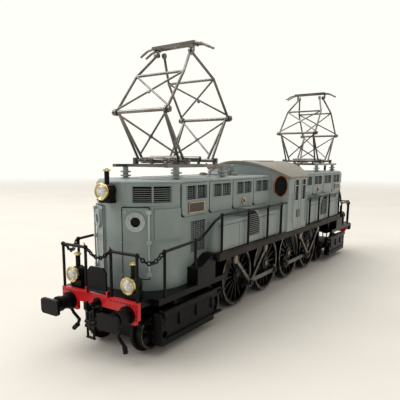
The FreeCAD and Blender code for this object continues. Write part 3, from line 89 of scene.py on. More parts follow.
def blank(name):
    """A new material with an empty node tree."""
    material = bpy.data.materials.new(name)
    material.use_nodes = True
    material.node_tree.nodes.clear()
    return material


def lumps(size_mm):
    """The noise scale whose lumps are about size_mm across."""
    return 1 / (size_mm * MM)


CLOUDING = {"Detail": 3.0, "Roughness": 0.55}      # soft, uneven patches
FINE_GRAIN = {"Detail": 2.0, "Roughness": 0.55}    # small even bumps


def sprayed_paint(name, colour, shade, light, roughness, coat=0.0, grain_mm=0.25, ior=1.5):
    """Enamel sprayed on etched brass: even colour, faint clouding and a fine orange peel."""
    material = blank(name)
    where = add(material, "ShaderNodeTexCoord").outputs["Object"]
    broad = add(material, "ShaderNodeTexNoise", {"Scale": lumps(9.0), **CLOUDING}, Vector=where)
    tone = add(material, "ShaderNodeValToRGB",
               {"stops": [(0.25, linear(shade)), (0.5, linear(colour)), (0.78, linear(light))]},
               Fac=broad.outputs["Fac"])
    handled = add(material, "ShaderNodeTexNoise", {"Scale": lumps(2.2), **CLOUDING}, Vector=where)
    polish = add(material, "ShaderNodeMapRange", {"To Min": roughness - 0.06, "To Max": roughness + 0.08},
                 Value=handled.outputs["Fac"])
    # Real orange peel is nearer 0.1 mm: it is drawn coarser, because finer grain wouldn't show.
    peel = add(material, "ShaderNodeTexNoise", {"Scale": lumps(grain_mm), **FINE_GRAIN}, Vector=where)
    bump = add(material, "ShaderNodeBump", {"Strength": 0.35, "Distance": 0.012 * MM},
               Height=peel.outputs["Fac"])
    shader = add(material, "ShaderNodeBsdfPrincipled", {"IOR": ior, "Coat Weight": coat,
                                                        "Coat Roughness": 0.3},
                 Base_Color=tone.outputs["Color"], Roughness=polish.outputs["Result"],
                 Normal=bump.outputs["Normal"])
    add(material, "ShaderNodeOutputMaterial", Surface=shader.outputs["BSDF"])
    return material


def bare_metal(name, colour, dull, roughness, grain_mm=0.4, stretch=(1, 1, 1)):
    """Drawn or cast metal: a bright reflection, broken by clouds where the surface has dulled."""
    material = blank(name)
    where = add(material, "ShaderNodeTexCoord").outputs["Object"]
    placed = add(material, "ShaderNodeMapping", {"Scale": stretch}, Vector=where)
    stain = add(material, "ShaderNodeTexNoise", {"Scale": 1 / (grain_mm * MM * 4), "Detail": 4.0},
                Vector=placed.outputs["Vector"])
    tone = add(material, "ShaderNodeValToRGB", {"stops": [(0.3, linear(dull)), (0.62, linear(colour))]},
               Fac=stain.outputs["Fac"])
    polish = add(material, "ShaderNodeMapRange", {"To Min": roughness + 0.12, "To Max": roughness - 0.06},
                 Value=stain.outputs["Fac"])
    grain = add(material, "ShaderNodeTexNoise", {"Scale": lumps(grain_mm), **FINE_GRAIN}, Vector=where)
    bump = add(material, "ShaderNodeBump", {"Strength": 0.3, "Distance": 0.008 * MM},
               Height=grain.outputs["Fac"])
    shader = add(material, "ShaderNodeBsdfPrincipled", {"Metallic": 1.0}, Base_Color=tone.outputs["Color"],
                 Roughness=polish.outputs["Result"], Normal=bump.outputs["Normal"])
    add(material, "ShaderNodeOutputMaterial", Surface=shader.outputs["BSDF"])
    return material


def make_materials(colours):
    """Every finish of the model, by the name that the pieces ask for."""
    made = {
        # Satin grey livery: soft broad highlights along the hoods' rounded edges.
        "body": sprayed_paint("satin_grey_enamel", colours.body, "74807E", "86918E", 0.36),
        # The same enamel, paler, on the raised fittings, frames, pipes and rails.
        "body_edge": sprayed_paint("paler_grey_enamel", "98A3A1", "85908E", "ABB4B1", 0.34),
        # Matt warm grey, so the arched roof shows no hot spot.
        "roof": sprayed_paint("matt_roof_enamel", colours.roof, "6E685D", "857F72", 0.5),
        # Worn brown-black deck, dull underfoot, with a paler strip along its edge.
        "walkway": sprayed_paint("worn_walkway_enamel", "231F1A", "181512", "322D26", 0.55, ior=1.25),
        "walkway_edge": sprayed_paint("paler_walkway_edge", "3F3A32", "2C2823", "565046", 0.5, ior=1.3),
        # Satin black fittings, kept dark by a low reflection, with soft glints on round bars.
        "black": sprayed_paint("satin_black_enamel", "060606", "030303", "0E0D0D", 0.38, ior=1.25),
        "iron": sprayed_paint("chemically_blackened_chain", "060606", "030303", "0F0E0D", 0.35, ior=1.3),
        # Near black with almost no reflection: dark joints round the doors, lids and roof panels, and
        # painted shadow round the raised panels.
        "seam": sprayed_paint("dark_joint_and_painted_shadow", "050505", "030303", "080808", 0.7, ior=1.1),
        # Frame and bogies, duller than the fittings, as if lightly dusty.
        "frame_black": sprayed_paint("dusty_frame_black", "060606", "030303", "100F0D", 0.45, ior=1.25),
        # Signal red beams and oxide red plate lines, with shadowed rivets that read at small size.
        "red": sprayed_paint("signal_red_enamel", colours.beam, "B3101A", "CF1F2A", 0.38),
        "plate_red": sprayed_paint("oxide_red_plate_line", "6E1F17", "551611", "82291F", 0.45),
        "rivet": sprayed_paint("rivet_shadow_red", "3C0A0C", "260607", "550F12", 0.5),
        # Painted shade: near-black backs stand for the shade in the openings behind the paler grey slats.
        "louvre": sprayed_paint("louvre_opening_painted_shade", "060606", "040404", "0B0B0B", 0.5, ior=1.15),
        "slat": sprayed_paint("grey_louvre_slat", "6A716F", "565C5B", "818886", 0.4),
        # Black wheel centres that keep the spokes readable.
        "wheel": sprayed_paint("wheel_black_enamel", "080807", "040404", "14110E", 0.4, ior=1.3),
        # Tarnished nickel silver, brighter spring wire, and rods milled along their length.
        "nickel": bare_metal("tarnished_nickel_silver", "7F7C77", "5A5753", 0.3, 1.6),
        "spring": bare_metal("drawn_spring_wire", "A5A29B", "7B7873", 0.28, 1.0),
        "rod": bare_metal("milled_nickel_rod", "84807A", "55514C", 0.36, 0.3, (0.15, 1, 1)),
        # Turned tyre rims with a warm worn shine.
        "tyre": bare_metal("turned_steel_tyre", "8A8178", "4A423A", 0.3),
        # Polished lamp rims, copper window rings and bronze bushes, as small warm accents.
        "brass": bare_metal("polished_brass", "EBDCA6", "BFA768", 0.24),
        "copper": bare_metal("copper_ring", "B27A5A", "7A4A34", 0.34),
        "bush": bare_metal("bronze_bush", "9C8577", "6A5247", 0.36),
        # Glazed porcelain look: pale grey with a light coat.
        "insulator": sprayed_paint("grey_insulator", "8E9896", "737E7D", "A2ABA9", 0.3, 0.3),
        # Plain steel motor can, seldom in sight.
        "motor": bare_metal("motor_can", "A8A8A6", "7C7C7A", 0.35),
    }
    made["glass"] = glazing_painted_cab_shade()
    made["lens"] = lamp_glass()
    made["plate"] = etched_plate()
    return made


def glazing_painted_cab_shade():
    """Clear acrylic over the cab: nearly black, as painted shade of the cab's interior, with a sharp
    reflection.
    """
    material = blank("glazing_painted_cab_shade")
    where = add(material, "ShaderNodeTexCoord").outputs["Object"]
    smear = add(material, "ShaderNodeTexNoise", {"Scale": lumps(3.0), **CLOUDING}, Vector=where)
    shade = add(material, "ShaderNodeValToRGB", {"stops": [(0.3, linear("0B0C0D")),
                                                           (0.8, linear("17191A"))]},
                Fac=smear.outputs["Fac"])
    shader = add(material, "ShaderNodeBsdfPrincipled", {"Roughness": 0.12, "IOR": 1.2},
                 Base_Color=shade.outputs["Color"])
    add(material, "ShaderNodeOutputMaterial", Surface=shader.outputs["BSDF"])
    return material


def lamp_glass():
    """Frosted moulded lens: pale and mottled, partly the frosted glass's own colour and partly the bright
    reflector behind it painted in as reflection, with small hard glints.
    """
    material = blank("frosted_lens_painted_reflector")
    where = add(material, "ShaderNodeTexCoord").outputs["Object"]
    mottle = add(material, "ShaderNodeTexNoise", {"Scale": lumps(0.9), "Detail": 4.0, "Roughness": 0.55},
                 Vector=where)
    tone = add(material, "ShaderNodeValToRGB", {"stops": [(0.3, linear("8F8E8C")),
                                                          (0.65, linear("D9D6D2"))]},
               Fac=mottle.outputs["Fac"])
    frost = add(material, "ShaderNodeTexNoise", {"Scale": lumps(0.35), **FINE_GRAIN}, Vector=where)
    bump = add(material, "ShaderNodeBump", {"Strength": 0.6, "Distance": 0.05 * MM},
               Height=frost.outputs["Fac"])
    shader = add(material, "ShaderNodeBsdfPrincipled",
                 {"Roughness": 0.16, "IOR": 1.5, "Coat Weight": 0.6, "Coat Roughness": 0.06},
                 Base_Color=tone.outputs["Color"], Normal=bump.outputs["Normal"])
    add(material, "ShaderNodeOutputMaterial", Surface=shader.outputs["BSDF"])
    return material


def etched_plate():
    """Enamelled field of an etched plate: dark oxide red with a soft sheen."""
    material = blank("etched_plate")
    where = add(material, "ShaderNodeTexCoord").outputs["Object"]
    patch = add(material, "ShaderNodeTexNoise", {"Scale": lumps(1.2), **CLOUDING}, Vector=where)
    tone = add(material, "ShaderNodeValToRGB", {"stops": [(0.3, linear("120D0C")),
                                                          (0.75, linear("2A1512"))]},
               Fac=patch.outputs["Fac"])
    shader = add(material, "ShaderNodeBsdfPrincipled", {"Roughness": 0.3}, Base_Color=tone.outputs["Color"])
    add(material, "ShaderNodeOutputMaterial", Surface=shader.outputs["BSDF"])
    return material


# ---- finishes of the CAD pieces -----------------------------------------------------
NODE_FINISH = {
    "main_frame": "frame_black", "running_board": "walkway", "end_decks": "black", "buffer_beams": "red",
    "buffer_housings": "black", "coupling_hooks": "black", "hood_front": "body", "hood_rear": "body",
    "nose_doors": "body", "door_fittings": "body_edge", "raised_panels": "body", "louvres": "louvre",
    "cab_body": "body", "cab_roof": "roof", "window_rims": "copper", "window_glass": "glass",
    "side_lockers": "body", "blank_plates": "plate", "handrails": "black", "safety_chains": "black",
    "headlamps": "black", "headlamp_brass": "brass", "headlamp_lenses": "lens", "brake_pipes": "black",
    "pantograph_bases": "nickel", "roof_fittings": "insulator", "motor_and_bearings": "motor",
    "drive_shaft": "rod",
}
PREFIX_FINISH = (("driving_wheelset", "wheel"), ("bogie_wheelset", "wheel"), ("bogie_frame", "frame_black"),
                 ("side_rods", "rod"), ("pantograph", "nickel"), ("buffer", "black"), ("screw", "black"),
                 ("gangway", "black"))


def finish_of(node):
    if node in NODE_FINISH:
        return NODE_FINISH[node]
    return next(finish for prefix, finish in PREFIX_FINISH if node.startswith(prefix))


def paint(thing, material):
    thing.data.materials.clear()
    thing.data.materials.append(material)


# ---- reading the frame --------------------------------------------------------------
def solids(node):
    """(low, high) corners in mm of each separate solid of a CAD node, in a fixed order."""
    mesh = bmesh.new()
    mesh.from_mesh(NODES[node].data)
    bmesh.ops.remove_doubles(mesh, verts=mesh.verts, dist=1e-7)
    unseen = set(mesh.verts)
    boxes = []
    while unseen:
        stack = [unseen.pop()]
        group = []
        while stack:
            vertex = stack.pop()
            group.append(vertex.co / MM)
            for edge in vertex.link_edges:
                other = edge.other_vert(vertex)
                if other in unseen:
                    unseen.discard(other)
                    stack.append(other)
        low = Vector([round(min(point[axis] for point in group), 3) for axis in range(3)])
        high = Vector([round(max(point[axis] for point in group), 3) for axis in range(3)])
        boxes.append((low, high))
    mesh.free()
    return sorted(boxes, key=lambda box: tuple(box[0]) + tuple(box[1]))


def front_near(node):
    """The solids of a node that lie in the front near quarter."""
    return [(low, high) for low, high in solids(node) if low.x + high.x < 0 and low.y + high.y < 0]


def corner_mm(node, which):
    """A node's lowest (0) or highest (1) corner in mm."""
    return Vector(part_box(node)[which]) / MM


# ---- sizes of the added pieces, in millimetres --------------------------------------
SLAT_PITCH = 0.52                       # louvre slat to slat
UPRIGHT_PITCH = 1.2                     # upright to upright across a louvre
DOOR_HALF_WIDTH = 3.5                   # nose door, from its middle to its edge
CAB_DOOR_X = ((-4.1, 0.9), (3.2, 8.2))  # ends of the cab's two doors
BEAM_RIVETS = 9
WHEEL_FACE_Y = 10.0                     # outer face of a wheel, from the middle of the track
FLANGE_DEPTH = 0.9
ROD_EYE_R = 1.5
LINK_REACH = 11.3                       # drive link's upper eyes, each side of its lower eye
SPRING_Y = 10.7
SPRING_LEAVES = 4
STEP_TOP_Z = 11.2                       # top of the bogie's side frame, under the step tubes
COIL_TURNS = 12
CAB_PIPE_X = (-10.6, -11.8)
GRAB_RAIL_X = (-5.0, 9.0)
LID_HEIGHT = 7.6                        # locker lid joint above the walkway
LOCKER_JOINT_DX = (12.5, 26.5)          # upright locker joints, from the locker's outer end
LATTICE_PITCH = 0.62                    # locker grille slat to slat
GRILLE_ROUND_R = 4.4                    # rounded shoulder of the locker grille
ROOF_JOINT_X = (-72.0, -58.0, -44.0, -30.0)
ROOF_HALF_WIDTH = 11.4
VENTILATOR_X = (-34.0, -27.5)
VENTILATOR_Y = -4.2
CONDUCTOR_X = (-37.5, -20.5)
POST_X = (-36.5, -21.5)
TREADS = 72
TREAD_PITCH = 0.78


# ---- modelling helpers, in millimetres ----------------------------------------------
MIRROR_Y = Matrix.Diagonal((1, -1, 1, 1))
HALF_TURN = Matrix.Rotation(math.pi, 4, "Z")
SIDES = (Matrix.Identity(4), MIRROR_Y)
ENDS = (Matrix.Identity(4), HALF_TURN)
QUARTERS = (Matrix.Identity(4), MIRROR_Y, HALF_TURN, HALF_TURN @ MIRROR_Y)


def start():
    """Selects nothing, so that the next operator acts only on what it adds."""
    bpy.ops.object.select_all(action="DESELECT")


def settle():
    """Leaves edit mode and moves the new object's place into its mesh."""
    if bpy.context.object.mode == "EDIT":
        bpy.ops.mesh.select_all(action="SELECT")
        bpy.ops.mesh.normals_make_consistent(inside=False)
        bpy.ops.object.mode_set(mode="OBJECT")
    bpy.ops.object.transform_apply(location=True, rotation=True, scale=True)
    return bpy.context.object


def facing(axis):
    """The rotation that turns +Z to axis."""
    return Vector(axis).to_track_quat("Z", "Y").to_euler()


def slab(low, high, rounding=0.0):
    """A block between two corners with its edges bevelled."""
    low, high = Vector(low) * MM, Vector(high) * MM
    start()
    bpy.ops.mesh.primitive_cube_add(size=1, location=(low + high) / 2, scale=high - low)
    bpy.ops.object.transform_apply(location=True, rotation=True, scale=True)
    if rounding:
        bpy.ops.object.mode_set(mode="EDIT")
        bpy.ops.mesh.select_all(action="SELECT")
        bpy.ops.mesh.bevel(offset=rounding * MM, segments=2)
    return settle()


def bar(a, b, radius, tip=None, sides=12):
    """A round bar from a to b, tapered to tip, with its far end chamfered."""
    a, b = Vector(a) * MM, Vector(b) * MM
    tip = radius if tip is None else tip
    start()
    bpy.ops.mesh.primitive_cone_add(vertices=sides, radius1=radius * MM, radius2=tip * MM,
                                    depth=(b - a).length,
                                    location=(a + b) / 2, rotation=facing(b - a))
    bpy.ops.object.transform_apply(location=True, rotation=True, scale=True)
    edges = bpy.context.object.data.edges
    points = bpy.context.object.data.vertices
    towards = (b - a).normalized()
    bpy.ops.object.mode_set(mode="EDIT")
    bpy.ops.mesh.select_mode(type="EDGE")
    bpy.ops.mesh.select_all(action="DESELECT")
    bpy.ops.object.mode_set(mode="OBJECT")
    for edge in edges:
        edge.select = all((points[i].co - b).dot(towards) > -1e-7 for i in edge.vertices)
    bpy.ops.object.mode_set(mode="EDIT")
    bpy.ops.mesh.bevel(offset=tip * 0.25 * MM, segments=1)
    return settle()


def ring(centre, axis, outer, inner, thick, sides=28):
    """A flat ring: a filled circle, inset, opened and thickened along axis."""
    start()
    bpy.ops.mesh.primitive_circle_add(vertices=sides, radius=outer * MM, fill_type="NGON",
                                      location=Vector(centre) * MM, rotation=facing(axis))
    bpy.ops.object.transform_apply(location=True, rotation=True, scale=True)
    bpy.ops.object.mode_set(mode="EDIT")
    bpy.ops.mesh.select_mode(type="FACE")
    bpy.ops.mesh.select_all(action="SELECT")
    bpy.ops.mesh.inset(thickness=(outer - inner) * MM)
    bpy.ops.mesh.delete(type="ONLY_FACE")
    return thickened(Vector(axis).normalized() * thick)


def thickened(step):
    """Extrudes all of the flat mesh being edited by step."""
    bpy.ops.mesh.select_all(action="SELECT")
    bpy.ops.mesh.extrude_region_move(TRANSFORM_OT_translate={"value": Vector(step) * MM})
    return settle()


def border(low, high, corner, edge, thick, axis="Y"):
    """A rounded rectangular frame on a -Y (or -X) face, its corners at low and high, thick proud."""
    low, high = Vector(low) * MM, Vector(high) * MM
    size = high - low
    sideways = axis == "Y"
    rotation = (math.radians(90), 0, 0) if sideways else (0, math.radians(-90), 0)
    scale = (size.x, size.z, 1) if sideways else (size.z, size.y, 1)
    start()
    bpy.ops.mesh.primitive_plane_add(size=1, location=(low + high) / 2, rotation=rotation)
    bpy.context.object.scale = scale
    bpy.ops.object.transform_apply(location=True, rotation=True, scale=True)
    bpy.ops.object.mode_set(mode="EDIT")
    bpy.ops.mesh.select_mode(type="VERT")
    bpy.ops.mesh.select_all(action="SELECT")
    bpy.ops.mesh.bevel(offset=corner * MM, segments=4, affect="VERTICES")
    bpy.ops.mesh.select_mode(type="FACE")
    bpy.ops.mesh.select_all(action="SELECT")
    bpy.ops.mesh.inset(thickness=edge * MM)
    bpy.ops.mesh.delete(type="ONLY_FACE")
    return thickened((0, -thick, 0) if sideways else (-thick, 0, 0))


def sweep(low, high, centre, from_angle, to_angle, steps=14):
    """The upright rectangle low..high (radius, height) spun about the upright axis through centre.

    Spin turns the other way round when Blender runs with no window, hence from_angle - to_angle.
    """
    towards = Vector((-math.cos(math.radians(from_angle)), -math.sin(math.radians(from_angle)), 0))
    middle = Vector((centre.x, centre.y, 0)) + towards * (low[0] + high[0]) / 2
    middle.z = (low[1] + high[1]) / 2
    start()
    bpy.ops.mesh.primitive_plane_add(size=1, location=middle * MM,
                                     rotation=(math.radians(90), 0, math.atan2(towards.y, towards.x)))
    bpy.context.object.scale = ((high[0] - low[0]) * MM, (high[1] - low[1]) * MM, 1)
    bpy.ops.object.transform_apply(location=True, rotation=True, scale=True)
    bpy.ops.object.mode_set(mode="EDIT")
    bpy.ops.mesh.select_all(action="SELECT")
    bpy.ops.mesh.spin(steps=steps, angle=math.radians(from_angle - to_angle),
                      center=Vector((centre.x, centre.y, 0)) * MM, axis=(0, 0, 1))
    return settle()


def hoop(centre, axis, radius, wire, around=28, section=8, stretch=None):
    """A round wire ring, stretched to an oval link where stretch is given."""
    start()
    bpy.ops.mesh.primitive_torus_add(major_radius=radius * MM, minor_radius=wire * MM, major_segments=around,
                                     minor_segments=section, location=Vector(centre) * MM,
                                     rotation=facing(axis))
    if stretch:
        bpy.ops.object.transform_apply(location=False, rotation=True, scale=True)
        bpy.context.object.scale = stretch
    return settle()


def dome(centre, axis, radius, height, sides=16):
    """A bolt or rivet head: half a ball, flattened to height."""
    start()
    bpy.ops.mesh.primitive_uv_sphere_add(segments=sides, ring_count=8, radius=radius * MM)
    bpy.context.object.scale = (1, 1, height / radius)
    bpy.ops.object.transform_apply(location=True, rotation=True, scale=True)
    bpy.ops.object.mode_set(mode="EDIT")
    bpy.ops.mesh.select_all(action="SELECT")
    bpy.ops.mesh.bisect(plane_co=(0, 0, 0), plane_no=(0, 0, 1), clear_inner=True, use_fill=True)
    bpy.ops.object.mode_set(mode="OBJECT")
    bpy.context.object.rotation_euler = facing(axis)
    bpy.context.object.location = Vector(centre) * MM
    return settle()


def copied(thing, matrices):
    """One copy of thing per matrix, each with its own mesh; thing itself is taken away."""
    made = []
    for matrix in matrices:
        copy = thing.copy()
        copy.data = thing.data.copy()
        bpy.context.collection.objects.link(copy)
        copy.data.transform(matrix)
        if matrix.determinant() < 0:
            copy.data.flip_normals()
        made.append(copy)
    bpy.data.objects.remove(thing)
    return made


def shifts(count, step):
    """Matrices that step a copy count times by step, in mm."""
    return [Matrix.Translation(Vector(step) * MM * i) for i in range(count)]


def to_places(things, matrices):
    """Every thing copied by every matrix."""
    return [copy for thing in things for copy in copied(thing, matrices)]


def piece(name, things, finish, body="root"):
    """Joins things to one named piece, smooths it, paints it and lets it ride on a body."""
    start()
    for thing in things:
        thing.select_set(True)
    bpy.context.view_layer.objects.active = things[0]
    bpy.ops.object.join()
    made = bpy.context.object
    made.name = name
    made.data.name = name
    bpy.ops.object.shade_smooth_by_angle(angle=math.radians(35))
    paint(made, FINISHES[finish])
    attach(made, body)
    return made


# ---- stage --------------------------------------------------------------------------
def aim_camera(camera, place, look, roll_degrees):
    """Points the camera along look, then rolls it about its own axis."""
    camera.location = place
    turn = look.to_track_quat("-Z", "Y").to_matrix().to_4x4()
    camera.matrix_world = Matrix.Translation(place) @ turn @ Matrix.Rotation(math.radians(roll_degrees), 4,
                                                                             "Z")


def pale_floor(colour):
    """Matt pale card that fades out into the bright backdrop, so that no horizon shows."""
    material = blank("matt_pale_floor")
    where = add(material, "ShaderNodeTexCoord").outputs["Object"]
    patch = add(material, "ShaderNodeTexNoise", {"Scale": lumps(60.0), **CLOUDING}, Vector=where)
    tone = add(material, "ShaderNodeValToRGB", {"stops": [(0.3, linear(colour)), (0.7, linear("D5D0C8"))]},
               Fac=patch.outputs["Fac"])
    card = add(material, "ShaderNodeBsdfPrincipled", {"Roughness": 0.9, "IOR": 1.2},
               Base_Color=tone.outputs["Color"])
    reach = add(material, "ShaderNodeVectorMath", {"operation": "LENGTH"}, Vector=where)
    fade = add(material, "ShaderNodeMapRange",
               {"interpolation_type": "SMOOTHSTEP", "From Min": 0.3, "From Max": 1.2},
               Value=reach.outputs["Value"])
    clear = add(material, "ShaderNodeBsdfTransparent")
    mix = add(material, "ShaderNodeMixShader", Fac=fade.outputs["Result"])
    material.node_tree.links.new(card.outputs["BSDF"], mix.inputs[1])
    material.node_tree.links.new(clear.outputs["BSDF"], mix.inputs[2])
    add(material, "ShaderNodeOutputMaterial", Surface=mix.outputs["Shader"])
    return material


def studio_world():
    """A bright wall beyond the far rear corner of the model, and a dimmer room on the other side."""
    world = bpy.data.worlds.new("studio_world")
    world.use_nodes = True
    world.node_tree.nodes.clear()
    where = add(world, "ShaderNodeTexCoord")
    side = add(world, "ShaderNodeVectorMath", {"operation": "DOT_PRODUCT"},
               Vector=where.outputs["Generated"])
    side.inputs[1].default_value = (0.82, 0.56, 0.12)
    share = add(world, "ShaderNodeMapRange",
                {"interpolation_type": "SMOOTHSTEP", "From Min": -0.35, "From Max": 0.55,
                 "To Min": 0.38, "To Max": 1.03}, Value=side.outputs["Value"])
    back = add(world, "ShaderNodeBackground", {"Color": linear("FFFDF6")}, Strength=share.outputs["Result"])
    add(world, "ShaderNodeOutputWorld", Surface=back.outputs["Background"])
    return world


class LocoStageSettings(bpy.types.PropertyGroup):
    """Camera and studio."""
    camera_place: bpy.props.FloatVectorProperty(
        name="Camera place", description="Where the camera stands", default=(-0.1634, -0.07941, 0.04934),
        size=3, subtype="TRANSLATION", unit="LENGTH")
    camera_yaw: bpy.props.FloatProperty(
        name="Yaw", description="Bearing of the view, clockwise from +Y", default=math.radians(55.745),
        subtype="ANGLE", unit="ROTATION")
    camera_pitch: bpy.props.FloatProperty(
        name="Pitch", description="Angle of the view below the horizon", default=math.radians(10.14),
        subtype="ANGLE", unit="ROTATION")
    floor_colour: bpy.props.StringProperty(name="Floor", description="Floor colour, sRGB hex",
                                           default="CFCAC2")


class LocoChainSettings(bpy.types.PropertyGroup):
    """Safety chain sizes."""
    link_width: bpy.props.FloatProperty(name="Link width", description="Width across one chain link",
                                        default=0.0013, unit="LENGTH", subtype="DISTANCE")
    link_pitch: bpy.props.FloatProperty(name="Link pitch", description="From one link's middle to the next",
                                        default=0.00092, unit="LENGTH", subtype="DISTANCE")


class LocoColourSettings(bpy.types.PropertyGroup):
    """Livery colours, sRGB hex."""
    body: bpy.props.StringProperty(name="Body", description="Colour of the hoods and the cab",
                                   default="7D8886")
    roof: bpy.props.StringProperty(name="Roof", description="Colour of the cab roof", default="7A7468")
    beam: bpy.props.StringProperty(name="Beam", description="Colour of the buffer beams", default="C4151F")


class LOCO_OT_stage(bpy.types.Operator):
    """Adds the floor, the studio light and the camera"""
    bl_idname = "loco.stage"
    bl_label = "Stage"

    def execute(self, context):
        settings = context.scene.loco_stage
        bpy.ops.object.select_all(action="DESELECT")
        bpy.ops.mesh.primitive_plane_add(size=8.0, location=(0, 0, 0))
        floor = context.object
        floor.name = "studio_floor"
        paint(floor, pale_floor(settings.floor_colour))
        context.scene.world = studio_world()
        context.scene.view_settings.view_transform = "Standard"
        lights = (("window_left", (-0.42, 0.5, 0.62), 0.55, 4.6), ("top_soft", (0.15, 0.1, 0.8), 0.9, 4.2),
                  ("fill_front", (-0.8, -0.45, 0.35), 0.6, 0.8))
        for name, place, size, power in lights:
            bpy.ops.object.light_add(type="AREA", location=place)
            light = context.object
            light.name = name
            light.data.shape = "SQUARE"
            light.data.size = size
            light.data.energy = power
            light.rotation_euler = (Vector((0, 0, 0.03)) - Vector(place)).to_track_quat("-Z", "Y").to_euler()

        bpy.ops.object.camera_add()
        camera = context.object
        camera.data.sensor_width = 36.0
        camera.data.lens = 39.907
        camera.data.shift_x = 0.021
        camera.data.shift_y = 0.098
        camera.data.clip_start = 0.005
        camera.data.clip_end = 50.0
        yaw, pitch = settings.camera_yaw, settings.camera_pitch
        look = Vector((math.sin(yaw) * math.cos(pitch), math.cos(yaw) * math.cos(pitch), -math.sin(pitch)))
        aim_camera(camera, Vector(settings.camera_place), look, 0.4)
        context.scene.camera = camera
        return {"FINISHED"}


class LOCO_OT_finishes(bpy.types.Operator):
    """Gives every CAD piece its real finish"""
    bl_idname = "loco.finishes"
    bl_label = "Finishes"

    def execute(self, context):
        for name, thing in NODES.items():
            paint(thing, FINISHES[finish_of(name)])
        return {"FINISHED"}


class LOCO_OT_louvres(bpy.types.Operator):
    """Slats, centre bars and rounded frames of the hood louvres and the low grilles"""
    bl_idname = "loco.louvres"
    bl_label = "Louvres"

    def execute(self, context):
        hood_y = corner_mm("hood_front", 0).y
        tip_x = corner_mm("hood_front", 0).x
        centre = Vector((tip_x - hood_y, 0, 0))
        panel_y = corner_mm("raised_panels", 0).y
        slats, bars, frames = [], [], []
        for low, high in front_near("louvres"):
            if high.x - low.x < 1 or low.y < hood_y - 1:
                continue
            tall = high.z - low.z
            if high.y - low.y > 1:
                slats += self.nose(low, high, centre, -hood_y, bars, frames)
                continue
            grille = tall > 6
            face = hood_y if grille else panel_y
            slat = slab((low.x + 0.05, hood_y + 0.08, low.z + 0.2),
                        (high.x - 0.05, hood_y + 0.5, low.z + 0.36), 0.03)
            slats += copied(slat, shifts(int((tall - 0.3) / SLAT_PITCH), (0, 0, SLAT_PITCH)))
            upright = slab((low.x + 0.9, hood_y + 0.02, low.z), (low.x + 1.02, hood_y + 0.3, high.z), 0.02)
            slats += copied(upright, shifts(int((high.x - low.x - 1) / UPRIGHT_PITCH),
                                            (UPRIGHT_PITCH, 0, 0)))
            if not grille:
                middle = (low.x + high.x) / 2
                bars.append(slab((middle - 0.26, face + 0.02, low.z), (middle + 0.26, hood_y + 0.5, high.z),
                                 0.08))
            frames.append(border((low.x - 0.24, face, low.z - 0.24), (high.x + 0.24, face, high.z + 0.24),
                                 0.45, 0.3, 0.12))
        piece("louvre_slats", to_places(slats, QUARTERS), "slat")
        piece("louvre_centre_bars", to_places(bars, QUARTERS), "body")
        piece("louvre_frames", to_places(frames, QUARTERS), "body")
        return {"FINISHED"}

    def nose(self, low, high, centre, radius, bars, frames):
        """The curved louvres on the nose's shoulder."""
        first = math.degrees(math.atan2(-high.y, centre.x - low.x))
        last = math.degrees(math.atan2(-low.y, centre.x - high.x))
        tall = high.z - low.z
        slat = sweep((radius - 0.45, low.z + 0.15), (radius - 0.02, low.z + 0.3), centre, first, last)
        rows = copied(slat, shifts(int(tall / SLAT_PITCH), (0, 0, SLAT_PITCH)))
        middle = (first + last) / 2
        bars.append(sweep((radius - 0.45, low.z), (radius + 0.22, high.z), centre, middle - 1.0,
                          middle + 1.0, 3))
        for z0, z1 in ((low.z - 0.14, low.z), (high.z, high.z + 0.14)):
            frames.append(sweep((radius - 0.3, z0), (radius + 0.4, z1), centre, first - 0.7, last + 0.7))
        for angle in (first - 0.7, last):
            frames.append(sweep((radius - 0.3, low.z), (radius + 0.4, high.z), centre, angle, angle + 0.7,
                                2))
        return rows


